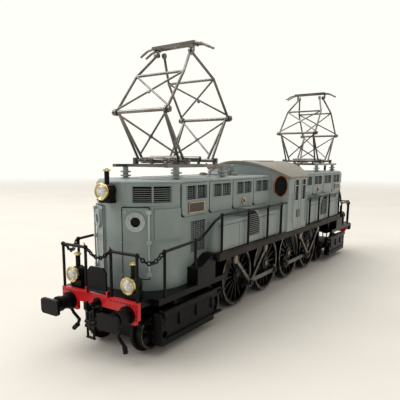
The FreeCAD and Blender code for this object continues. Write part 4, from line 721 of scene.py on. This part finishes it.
class LOCO_OT_shadows_and_seams(bpy.types.Operator):
    """Painted shadow round the raised panels, dark joints round the doors, and the nose doors' bolts and
    rings
    """
    bl_idname = "loco.seams"
    bl_label = "Panel and door seams"
    # The panel rings of this step are painted shadow; the door lines are dark joints.

    def execute(self, context):
        hood_y = corner_mm("hood_front", 0).y
        lines = []
        # Painted shadow: a near-black ring round the foot of each raised panel stands for the shade that the
        # panel casts on the hood.
        for low, high in front_near("raised_panels"):
            if high.y - low.y < 1:
                lines.append(border((low.x - 0.16, hood_y + 0.02, low.z - 0.16),
                                    (high.x + 0.16, hood_y + 0.02, high.z + 0.1), 1.2, 0.3, 0.1))
        cab_low = corner_mm("cab_body", 0)
        edge_low = corner_mm("cab_body", 1).z - 7.0
        for x0, x1 in CAB_DOOR_X:
            lines.append(border((x0, cab_low.y + 0.03, cab_low.z + 0.4), (x1, cab_low.y + 0.03, edge_low),
                                0.3, 0.12, 0.06))
        piece("panel_shadow_rings_and_cab_door_joints", to_places(lines[:-2], QUARTERS) + to_places(lines[-2:], SIDES), "seam")

        door_low, door_high = front_near("nose_doors")[0]
        radius = -hood_y
        centre_x = corner_mm("hood_front", 0).x + radius
        angle = math.atan2(-(door_low.y + door_high.y) / 2, centre_x - (door_low.x + door_high.x) / 2)
        face = centre_x - radius - 0.1
        half = DOOR_HALF_WIDTH
        seam = border((face + 0.02, -half - 0.05, door_low.z - 0.06),
                      (face + 0.02, half + 0.05, door_high.z + 0.1),
                      0.15, 0.2, 0.05, "X")
        hole_z = door_high.z - 3.6
        details = [dome((face - 0.6, 1.9 * math.cos(turn), hole_z + 1.9 * math.sin(turn)), (-1, 0, 0), 0.24,
                        0.2, 8)
                   for turn in [math.radians(45 * i + 22) for i in range(8)]]
        details.append(hoop((face - 0.55, 0, hole_z), (-1, 0, 0), 2.35, 0.14, 32))
        details.append(hoop((face - 0.6, 0, hole_z), (-1, 0, 0), 1.38, 0.13, 28))
        for z in (door_low.z + 1.4, (door_low.z + door_high.z) / 2 + 0.45, door_high.z - 1.1):
            for step in (-0.32, 0.32):
                details.append(dome((face - 0.72, half - 0.1 + step, z), (-1, 0, 0), 0.16, 0.16, 8))
        turns = []
        for end in ENDS:
            for sign in (1, -1):
                about = Matrix.Translation((centre_x * MM, 0, 0))
                turn = about @ Matrix.Rotation(sign * angle, 4, "Z") @ about.inverted()
                turns.append(end @ turn @ (Matrix.Identity(4) if sign > 0 else MIRROR_Y))
        piece("door_seams", copied(seam, turns), "seam")
        piece("door_bolts_and_rings", to_places(details, turns), "body_edge")
        return {"FINISHED"}


class LOCO_OT_lamps(bpy.types.Operator):
    """Domed lenses, bezels and domed backs of the headlamps"""
    bl_idname = "loco.lamps"
    bl_label = "Lamps"

    def execute(self, context):
        glasses, bezels, backs = [], [], []
        for low, high in solids("headlamp_lenses"):
            out = -1 if low.x < 0 else 1
            face = low.x if out < 0 else high.x
            y, z = (low.y + high.y) / 2, (low.z + high.z) / 2
            radius = (high.z - low.z) / 2
            glasses.append(dome((face, y, z), (out, 0, 0), radius * 0.93, 0.5, 24))
            bezels.append(hoop((face + out * 0.1, y, z), (1, 0, 0), radius * 0.97, 0.14, 32))
            bezels.append(hoop((face + out * 0.25, y, z), (1, 0, 0), radius * 1.16, 0.16, 32))
            backs.append(dome((face - out * 2.6, y, z), (-out, 0, 0), radius * 0.8, 0.5, 16))
        piece("lamp_domes", glasses, "lens")
        piece("lamp_bezels", bezels, "brass")
        piece("lamp_backs", backs, "black")
        return {"FINISHED"}


class LOCO_OT_beams(bpy.types.Operator):
    """Rivets of the buffer beams and bolts of the buffer housings"""
    bl_idname = "loco.beams"
    bl_label = "Beam rivets"

    def execute(self, context):
        low, high = corner_mm("end_decks", 0), corner_mm("buffer_beams", 1)
        face = -high.x + 0.5
        half = high.y
        rivets = []
        for i in range(BEAM_RIVETS):
            y = 4.6 + i * (half - 5.1) / (BEAM_RIVETS - 1)
            rivets.append(dome((face, -y, low.z + 0.75), (-1, 0, 0), 0.24, 0.14, 8))
        for i in range(3):
            rivets.append(dome((face, -half + 0.55, low.z - 0.6 - i * 1.1), (-1, 0, 0), 0.24, 0.14, 8))
        # Painted shadow: the rivet heads are dark red, for the shade round them, so that they read at small
        # size.
        piece("beam_rivets", to_places(rivets, QUARTERS), "rivet")
        housing = corner_mm("buffer_housings", 0)
        middle = Vector((face, (corner_mm("buffer_front_near", 1).y + corner_mm("buffer_front_near",
                                                                                0).y) / 2,
                         (housing.z + corner_mm("buffer_housings", 1).z) / 2))
        bolts = [dome((face - 0.75, middle.y + 1.95 * math.cos(turn), middle.z + 1.95 * math.sin(turn)),
                      (-1, 0, 0),
                      0.26, 0.22, 8) for turn in [math.radians(45 + 90 * i) for i in range(4)]]
        rings = [hoop((face - 1.6, middle.y, middle.z), (1, 0, 0), 1.76, 0.16),
                 hoop((housing.x + 0.2, middle.y, middle.z), (1, 0, 0), 1.72, 0.14)]
        piece("buffer_bolts_and_bands", to_places(bolts + rings, QUARTERS), "black")
        return {"FINISHED"}


class LOCO_OT_chains(bpy.types.Operator):
    """Chains between the end rails, and the hooks on the posts that hold them"""
    bl_idname = "loco.chains"
    bl_label = "Safety chains"

    def execute(self, context):
        settings = context.scene.loco_chains
        width, pitch = settings.link_width / MM, settings.link_pitch / MM
        wire = width * 0.155
        link = hoop((0, 0, 0), (0, 0, 1), width / 2 - wire, wire, 14, 6, (1.12, 1, 1))
        places = []
        hooks = []
        for low, high in solids("safety_chains"):
            out = -1 if low.x < 0 else 1
            middle = high.y * low.y < 0
            inset = width * 0.2
            x0, x1 = (low.x + inset, high.x - inset) if not middle else ((low.x + high.x) / 2,) * 2
            y0, y1 = low.y + inset, high.y - inset
            if not middle and (low.y + high.y) * out > 0:
                y0, y1 = y1, y0
            top = high.z - width * 0.2
            a, b = Vector((x0, y0, top)), Vector((x1, y1, top))
            places += self.links(a, b, top - low.z - width * 0.42, pitch)
            for end in (a, b):
                foot = end + (end - (a + b) / 2).normalized() * width * 0.75
                if middle:
                    hooks.append(bar((foot.x, foot.y, foot.z + 0.1),
                                     (foot.x + out * 0.35, foot.y, foot.z + 1.7),
                                     0.26, 0.12, 8))
                hooks.append(hoop(end + (foot - end) * 0.35, (1, 0, 0), 0.42, 0.13, 14, 6))
        chain = piece("safety_chain_links", copied(link, places), "iron")
        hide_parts("safety_chains")
        piece("chain_hooks", hooks, "iron")
        return {"FINISHED"}

    def links(self, a, b, sag, pitch):
        """A matrix for each link, evenly spaced along the shallow curve from a to b."""
        steps = 200
        curve = [a.lerp(b, i / steps) - Vector((0, 0, 4 * sag * (i / steps) * (1 - i / steps)))
                 for i in range(steps + 1)]
        length = sum((q - p).length for p, q in zip(curve[:-1], curve[1:]))
        count = round(length / pitch)
        places = []
        run, made = 0.0, 0
        for p, q in zip(curve[:-1], curve[1:]):
            run += (q - p).length
            if made < count and run >= (made + 0.5) * length / count:
                along = (q - p).to_track_quat("X", "Z").to_matrix().to_4x4()
                roll = Matrix.Rotation(math.radians(78 if made % 2 else 12), 4, "X")
                places.append(Matrix.Translation(q * MM) @ along @ roll)
                made += 1
        return places


class LOCO_OT_wheels(bpy.types.Operator):
    """Bright tyre faces, hub caps and hub bolts of every wheelset"""
    bl_idname = "loco.wheels"
    bl_label = "Wheel details"

    def execute(self, context):
        for name in sorted(NODES):
            if "wheelset" not in name:
                continue
            low, high = corner_mm(name, 0), corner_mm(name, 1)
            x, z = (low.x + high.x) / 2, (low.z + high.z) / 2
            driving = name.startswith("driving")
            tread = (high.z - low.z) / 2 - FLANGE_DEPTH
            face = WHEEL_FACE_Y
            tyres = []
            caps = []
            for side in (-1, 1):
                tyres.append(ring((x, side * face, z), (0, side, 0), tread - 0.05,
                                  tread - (0.6 if driving else 0.42),
                                  0.1, 56))
                hub = 1.25 if driving else 0.85
                caps.append(bar((x, side * (face - 0.1), z), (x, side * (face + 0.3), z), hub, hub * 0.9,
                                20))
                for i in range(6 if driving else 0):
                    turn = math.radians(60 * i)
                    caps.append(dome((x + 0.9 * math.cos(turn), side * (face + 0.28),
                                      z + 0.9 * math.sin(turn)),
                                     (0, side, 0), 0.17, 0.14, 6))
            piece(name + "_tyre_faces", tyres, "tyre", name)
            piece(name + "_hub_caps", caps, "bush" if driving else "tyre", name)
        return {"FINISHED"}


class LOCO_OT_rods(bpy.types.Operator):
    """Bronze bushes, raised edges and oil cups of the side rods"""
    bl_idname = "loco.rods"
    bl_label = "Rod details"

    def execute(self, context):
        eye, reach = ROD_EYE_R, LINK_REACH
        for end in ("front", "rear"):
            for side in ("near", "far"):
                node = "side_rods_{}_{}".format(end, side)
                low, high = corner_mm(node, 0), corner_mm(node, 1)
                out = -1 if side == "near" else 1
                y_in = out * min(abs(low.y), abs(high.y))
                pin_z, top_z = low.z + eye, high.z - eye
                if end == "front":
                    pin_x, other_x = low.x + eye + reach, high.x - eye
                else:
                    pin_x, other_x = high.x - eye - reach, low.x + eye
                coupling_y, link_y = y_in + out * 0.9, y_in + out * 2.1
                bushes = [ring((other_x, coupling_y, pin_z), (0, out, 0), 1.2, 0.72, 0.16)]
                ribs = []
                for x, z in ((pin_x, pin_z), (pin_x - reach, top_z), (pin_x + reach, top_z)):
                    bushes.append(ring((x, link_y, z), (0, out, 0), 1.2, 0.72, 0.14))
                for x, z in ((pin_x - reach, top_z), (pin_x + reach, top_z)):
                    away = (Vector((x, 0, z)) - Vector((pin_x, 0, pin_z))).normalized()
                    across = Vector((-away.z, 0, away.x)) * 0.5
                    for sign in (-1, 1):
                        a = Vector((pin_x, link_y, pin_z)) + away * 1.7 + across * sign
                        b = Vector((x, link_y, z)) - away * 1.7 + across * sign
                        ribs.append(bar(a, b, 0.13, 0.13, 8))
                toward = 1 if other_x > pin_x else -1
                for sign in (-1, 1):
                    ribs.append(bar((pin_x + toward * 1.8, coupling_y, pin_z + sign * 0.6),
                                    (other_x - toward * 1.6, coupling_y, pin_z + sign * 0.6), 0.14, 0.14, 8))
                ribs.append(bar((other_x, coupling_y - out * 0.4, pin_z + 1.3),
                                (other_x, coupling_y - out * 0.4, pin_z + 2.1), 0.35, 0.28, 10))
                piece(node + "_bushes", bushes, "bush", node)
                piece(node + "_edges_and_cups", ribs, "rod", node)
        return {"FINISHED"}


class LOCO_OT_bogies(bpy.types.Operator):
    """Leaf springs, axle box covers, step tubes and tread plates of the bogies"""
    bl_idname = "loco.bogies"
    bl_label = "Bogie details"

    def execute(self, context):
        for end, sign in (("front", -1), ("rear", 1)):
            node = "bogie_frame_" + end
            low, high = corner_mm(node, 0), corner_mm(node, 1)
            parts, plates = [], []
            for axle in ("inner", "outer"):
                wheel_low = corner_mm("bogie_wheelset_{}_{}".format(end, axle), 0)
                wheel_high = corner_mm("bogie_wheelset_{}_{}".format(end, axle), 1)
                x, z = (wheel_low.x + wheel_high.x) / 2, (wheel_low.z + wheel_high.z) / 2
                for side in (-1, 1):
                    y = side * SPRING_Y
                    for leaf in range(SPRING_LEAVES):
                        half = 3.4 - leaf * 0.65
                        parts.append(slab((x - half, y - 0.35, z + 3.2 - leaf * 0.32),
                                          (x + half, y + 0.35, z + 3.46 - leaf * 0.32), 0.05))
                    parts.append(slab((x - 0.5, y - 0.45, z + 1.9), (x + 0.5, y + 0.45, z + 3.7), 0.08))
                    parts.append(bar((x, side * 10.1, z), (x, side * 11.1, z), 1.35, 1.2, 16))
                    for turn in (45, 135, 225, 315):
                        angle = math.radians(turn)
                        parts.append(dome((x + 0.9 * math.cos(angle), side * 11.08,
                                           z + 0.9 * math.sin(angle)),
                                          (0, side, 0), 0.17, 0.15, 6))
            inner, outer = sorted((abs(low.x), abs(high.x)))
            skirt_y, skirt_top = high.y, STEP_TOP_Z
            for side in (-1, 1):
                y = side * (skirt_y - 0.75)
                for step in (0.0, 1.1):
                    z = skirt_top + 0.4 - step * 1.5
                    a, b = (sign * (inner + 3.5), y, z), (sign * (outer - 3.0), y, z)
                    parts.append(bar(a, b, 0.38, 0.38, 12))
                    parts.append(bar(a, (a[0] - sign * 0.9, y, z - 1.8), 0.38, 0.34, 12))
                    parts.append(bar(b, (b[0] + sign * 0.9, y, z - 1.8), 0.38, 0.34, 12))
                for x in (inner + 8.5, inner + 16.5, inner + 24.5):
                    parts.append(slab((sign * x - 0.35, y - 0.5, skirt_top - 4.6),
                                      (sign * x + 0.35, y + 0.5, skirt_top + 0.8), 0.1))
                    for z in (skirt_top - 4.0, skirt_top - 0.4):
                        parts.append(dome((sign * x, y + side * 0.48, z), (0, side, 0), 0.26, 0.2, 8))
                plates.append(slab((sign * (inner + 3.0) - 0.1, y - 0.7, 4.2),
                                   (sign * (outer - 3.0), y + 0.7, 4.6), 0.1))
            piece(node + "_step_treads", plates, "frame_black", "bogie_" + end)
            piece(node + "_springs_and_boxes", parts, "frame_black", "bogie_" + end)
        return {"FINISHED"}


class LOCO_OT_pantographs(bpy.types.Operator):
    """Crossing discs, knee bolts, contact strips and springs of both pantographs"""
    bl_idname = "loco.pantographs"
    bl_label = "Pantograph details"

    def execute(self, context):
        for end in ("front", "rear"):
            for arm in ("lower_outer", "lower_inner", "upper_outer", "upper_inner"):
                node = "pantograph_{}_{}".format(end, arm)
                low, high = corner_mm(node, 0), corner_mm(node, 1)
                outward = (arm.endswith("outer")) == (end == "front")
                lower = arm.startswith("lower")
                knee_x = low.x + 0.6 if outward else high.x - 0.6
                foot_x = (high.x - 0.6 if outward else low.x + 0.6) if lower else None
                details = []
                knee_z = high.z - 0.5 if lower else low.z + 0.9
                for side in (-1, 1):
                    y = side * high.y
                    details.append(ring((knee_x, y * 0.955, knee_z), (0, side, 0), 0.78, 0.3, 0.25, 16))
                    details.append(dome((knee_x, y * 0.985, knee_z), (0, side, 0), 0.38, 0.3, 10))
                if lower:
                    x, z = (knee_x + foot_x) / 2, (low.z + high.z) / 2
                else:
                    x, z = knee_x + (4.3 if outward else -4.3), knee_z + 5.3
                details.append(dome((x - (0.3 if outward else -0.3), 0, z), (-1 if outward else 1, 0, 0.3),
                                    0.55, 0.22, 14))
                piece(node + "_joints", details, "nickel", node)
            node = "pantograph_{}_head".format(end)
            low, high = corner_mm(node, 0), corner_mm(node, 1)
            strips = []
            middle = (low.x + high.x) / 2
            for step in (-1.05, 1.05):
                strips.append(slab((middle + step - 0.35, -6.6, high.z - 0.28),
                                   (middle + step + 0.35, 6.6, high.z - 0.02),
                                   0.08))
            for y in (-5.6, 0.0, 5.6):
                strips.append(slab((middle - 1.5, y - 0.3, high.z - 0.75),
                                   (middle + 1.5, y + 0.3, high.z - 0.4), 0.08))
            piece(node + "_strips", strips, "nickel", node)
        low = corner_mm("pantograph_bases", 0)
        coils = []
        for y in (3.1, 5.4):
            start_x = low.x + 7.2
            start()
            bpy.ops.mesh.primitive_circle_add(vertices=6, radius=0.17 * MM, fill_type="NGON",
                                              location=(start_x * MM, 0.75 * MM, 0))
            bpy.ops.object.transform_apply(location=True, rotation=True, scale=True)
            screw = bpy.context.object.modifiers.new("coil", "SCREW")
            screw.axis = "X"
            screw.angle = math.radians(360 * COIL_TURNS)
            screw.screw_offset = 8.0 * MM
            screw.steps = 14 * COIL_TURNS
            screw.render_steps = 14 * COIL_TURNS
            bpy.ops.object.modifier_apply(modifier="coil")
            coil = settle()
            coil.data.transform(Matrix.Translation((0, -y * MM, (low.z + 1.9) * MM)))
            coils.append(coil)
            coils.append(bar((start_x - 1.2, -y, low.z + 1.9), (start_x + 9.2, -y, low.z + 1.9), 0.2, 0.2,
                             10))
        piece("pantograph_springs", to_places(coils, QUARTERS), "spring")
        return {"FINISHED"}


class LOCO_OT_cab(bpy.types.Operator):
    """Window frames, gutters, rain pipes and grab rails of the cab"""
    bl_idname = "loco.cab"
    bl_label = "Cab details"

    def execute(self, context):
        low = corner_mm("cab_body", 0)
        roof = corner_mm("cab_roof", 0)
        panes = [box for box in solids("window_glass")
                 if box[0].y + box[1].y < 0 and abs(box[0].x + box[1].x) < 14 and box[1].y - box[0].y < 1]
        frames = []
        for pane_low, pane_high in panes:
            frames.append(border((pane_low.x - 0.3, low.y, pane_low.z - 0.3),
                                 (pane_high.x + 0.3, low.y, pane_high.z + 0.3),
                                 0.3, 0.34, 0.16))
            frames.append(slab((pane_low.x, low.y + 0.02, (pane_low.z + pane_high.z) / 2 + 1.5),
                               (pane_high.x, low.y + 0.4, (pane_low.z + pane_high.z) / 2 + 1.75), 0.04))
        frames.append(slab((-9.0, low.y - 0.22, roof.z - 0.5), (9.0, low.y + 0.02, roof.z - 0.15), 0.08))
        piece("cab_window_frames_and_gutters", to_places(frames, SIDES), "body_edge")
        pipes = []
        for x in CAB_PIPE_X:
            pipes.append(bar((x, low.y + 1.15, low.z), (x, low.y + 1.15, low.z + 11.2), 0.34, 0.3, 12))
            pipes.append(hoop((x, low.y + 1.15, low.z + 8.0), (0, 0, 1), 0.4, 0.12, 12, 6))
        grab = [bar((x, low.y - 0.28, low.z + 3), (x, low.y - 0.28, low.z + 14), 0.14, 0.14, 8)
                for x in GRAB_RAIL_X]
        piece("cab_corner_pipes", to_places(pipes, QUARTERS), "body_edge")
        piece("cab_grab_rails", to_places(grab, SIDES), "body_edge")
        return {"FINISHED"}


class LOCO_OT_plates(bpy.types.Operator):
    """Rims and inner lines of the blank plates and badges"""
    bl_idname = "loco.plates"
    bl_label = "Blank plates"

    def execute(self, context):
        rims, fields = [], []
        for low, high in front_near("blank_plates") + [box for box in solids("blank_plates")
                                                       if abs(box[0].x + box[1].x) < 1 and box[0].y < 0]:
            wide, tall = high.x - low.x, high.z - low.z
            face = low.y
            if wide > tall * 1.3:
                rims.append(border((low.x, face, low.z), (high.x, face, high.z), 0.25, 0.14, 0.08))
                fields.append(border((low.x + 0.38, face, low.z + 0.38),
                                     (high.x - 0.38, face, high.z - 0.38),
                                     0.15, 0.1, 0.06))
            else:
                middle = ((low.x + high.x) / 2, face, (low.z + high.z) / 2)
                rims.append(ring(middle, (0, -1, 0), wide / 2, wide / 2 - 0.24, 0.08, 28))
                fields.append(ring(middle, (0, -1, 0), wide / 2 - 0.35, 0.25, 0.06, 24))
        piece("plate_rims", to_places(rims, QUARTERS), "brass")
        piece("plate_inner_lines", to_places(fields, QUARTERS), "plate_red")
        return {"FINISHED"}


class LOCO_OT_lockers(bpy.types.Operator):
    """Lid joints and grille slats of the side lockers"""
    bl_idname = "loco.lockers"
    bl_label = "Locker details"

    def execute(self, context):
        outer_y = corner_mm("side_lockers", 0).y
        base = corner_mm("running_board", 1).z
        left = corner_mm("side_lockers", 0).x
        right = -corner_mm("cab_body", 1).x
        lid_z = base + LID_HEIGHT
        lines = [slab((left + 0.1, outer_y - 0.04, lid_z - 0.06), (right, outer_y + 0.02, lid_z + 0.06)),
                 slab((left + 0.1, outer_y - 0.04, base + 0.02), (right, outer_y + 0.02, base + 0.2))]
        for x in (left + dx for dx in LOCKER_JOINT_DX):
            lines.append(slab((x - 0.05, outer_y - 0.03, base + 0.2), (x + 0.05, outer_y + 0.02, lid_z)))
        piece("locker_joints", to_places(lines, QUARTERS), "seam")
        grilles = [box for box in front_near("louvres") if box[0].y < corner_mm("hood_front", 0).y - 1]
        lattice = []
        for grille_low, grille_high in grilles:
            face = grille_low.y
            rows = int((grille_high.z - grille_low.z - 0.6) / LATTICE_PITCH)
            for i in range(rows):
                z = grille_low.z + 0.3 + i * LATTICE_PITCH
                right_edge = grille_high.x - 0.15
                over = z - (grille_high.z - GRILLE_ROUND_R)
                if over > 0:
                    right_edge -= GRILLE_ROUND_R - math.sqrt(max(GRILLE_ROUND_R ** 2 - over ** 2, 0))
                if right_edge - grille_low.x > 1:
                    lattice.append(slab((grille_low.x + 0.12, face - 0.12, z),
                                        (right_edge, face + 0.02, z + 0.2), 0.03))
        piece("locker_grille_slats", to_places(lattice, QUARTERS), "slat")
        return {"FINISHED"}


class LOCO_OT_roof(bpy.types.Operator):
    """Conductors with their insulators, panel joints and ventilators on the hoods"""
    bl_idname = "loco.roof"
    bl_label = "Roof details"

    def execute(self, context):
        top = corner_mm("hood_front", 1).z
        lines = []
        for x in ROOF_JOINT_X:
            lines.append(slab((x - 0.06, -ROOF_HALF_WIDTH, top - 0.02),
                              (x + 0.06, ROOF_HALF_WIDTH, top + 0.05)))
        piece("roof_panel_joints", to_places(lines, ENDS), "seam")
        caps = []
        for x in VENTILATOR_X:
            caps.append(bar((x, VENTILATOR_Y, top - 0.05), (x, VENTILATOR_Y, top + 0.7), 1.5, 1.25, 20))
            caps.append(dome((x, VENTILATOR_Y, top + 0.68), (0, 0, 1), 1.25, 0.35, 20))
        piece("roof_ventilators", to_places(caps, QUARTERS), "roof")
        outer, inner = CONDUCTOR_X
        wires = [bar((outer, 0, top + 2.6), (inner, 0, top + 2.6), 0.28, 0.28, 10),
                 bar((outer, 0, top + 2.6), (outer - 1.1, 0, top + 4.2), 0.28, 0.28, 10)]
        posts = []
        for x in POST_X:
            for i in range(4):
                posts.append(bar((x, 0, top + 0.1 + i * 0.6), (x, 0, top + 0.55 + i * 0.6), 0.85 - i * 0.06,
                                 0.5, 14))
        piece("roof_conductors", to_places(wires, ENDS), "copper")
        piece("conductor_insulators", to_places(posts, ENDS), "insulator")
        return {"FINISHED"}


class LOCO_OT_walkway(bpy.types.Operator):
    """Tread plates and edge strips of the walkways and the end decks"""
    bl_idname = "loco.walkway"
    bl_label = "Walkway details"

    def execute(self, context):
        low, high = corner_mm("running_board", 0), corner_mm("running_board", 1)
        edge = slab((low.x + 0.1, low.y, high.z - 0.42), (-0.1, low.y + 0.3, high.z + 0.06), 0.06)
        tread = slab((low.x + 0.6, low.y + 0.42, high.z - 0.02), (low.x + 0.75, low.y + 0.95, high.z + 0.05))
        treads = copied(tread, shifts(TREADS, (TREAD_PITCH, 0, 0)))
        piece("walkway_edge_strips", to_places([edge], QUARTERS), "walkway_edge")
        piece("walkway_treads", to_places(treads, QUARTERS), "walkway")
        return {"FINISHED"}


FINISHES = {}
OPERATORS = (LOCO_OT_stage, LOCO_OT_finishes, LOCO_OT_louvres, LOCO_OT_shadows_and_seams, LOCO_OT_lamps, LOCO_OT_beams,
             LOCO_OT_chains, LOCO_OT_wheels, LOCO_OT_rods, LOCO_OT_bogies, LOCO_OT_pantographs, LOCO_OT_cab,
             LOCO_OT_plates, LOCO_OT_lockers, LOCO_OT_roof, LOCO_OT_walkway)


class LOCO_PT_panel(bpy.types.Panel):
    """Lists the steps that build the locomotive"""
    bl_label = "Locomotive"
    bl_idname = "LOCO_PT_panel"
    bl_space_type = "VIEW_3D"
    bl_region_type = "UI"
    bl_category = "Locomotive"

    def draw(self, context):
        for operator in OPERATORS:
            self.layout.operator(operator.bl_idname)


GROUPS = {"loco_stage": LocoStageSettings, "loco_chains": LocoChainSettings,
          "loco_colours": LocoColourSettings}


def register():
    for cls in tuple(GROUPS.values()) + OPERATORS + (LOCO_PT_panel,):
        bpy.utils.register_class(cls)
    for name, group in GROUPS.items():
        setattr(bpy.types.Scene, name, bpy.props.PointerProperty(type=group))


def unregister():
    for name in GROUPS:
        delattr(bpy.types.Scene, name)
    for cls in (LOCO_PT_panel,) + OPERATORS[::-1] + tuple(GROUPS.values()):
        bpy.utils.unregister_class(cls)


def run(operator):
    """Calls an operator class through bpy.ops."""
    module, name = operator.bl_idname.split(".")
    getattr(getattr(bpy.ops, module), name)()


def main():
    register()
    FINISHES.update(make_materials(bpy.context.scene.loco_colours))
    for operator in OPERATORS:
        run(operator)


if __name__ == "__main__":
    main()
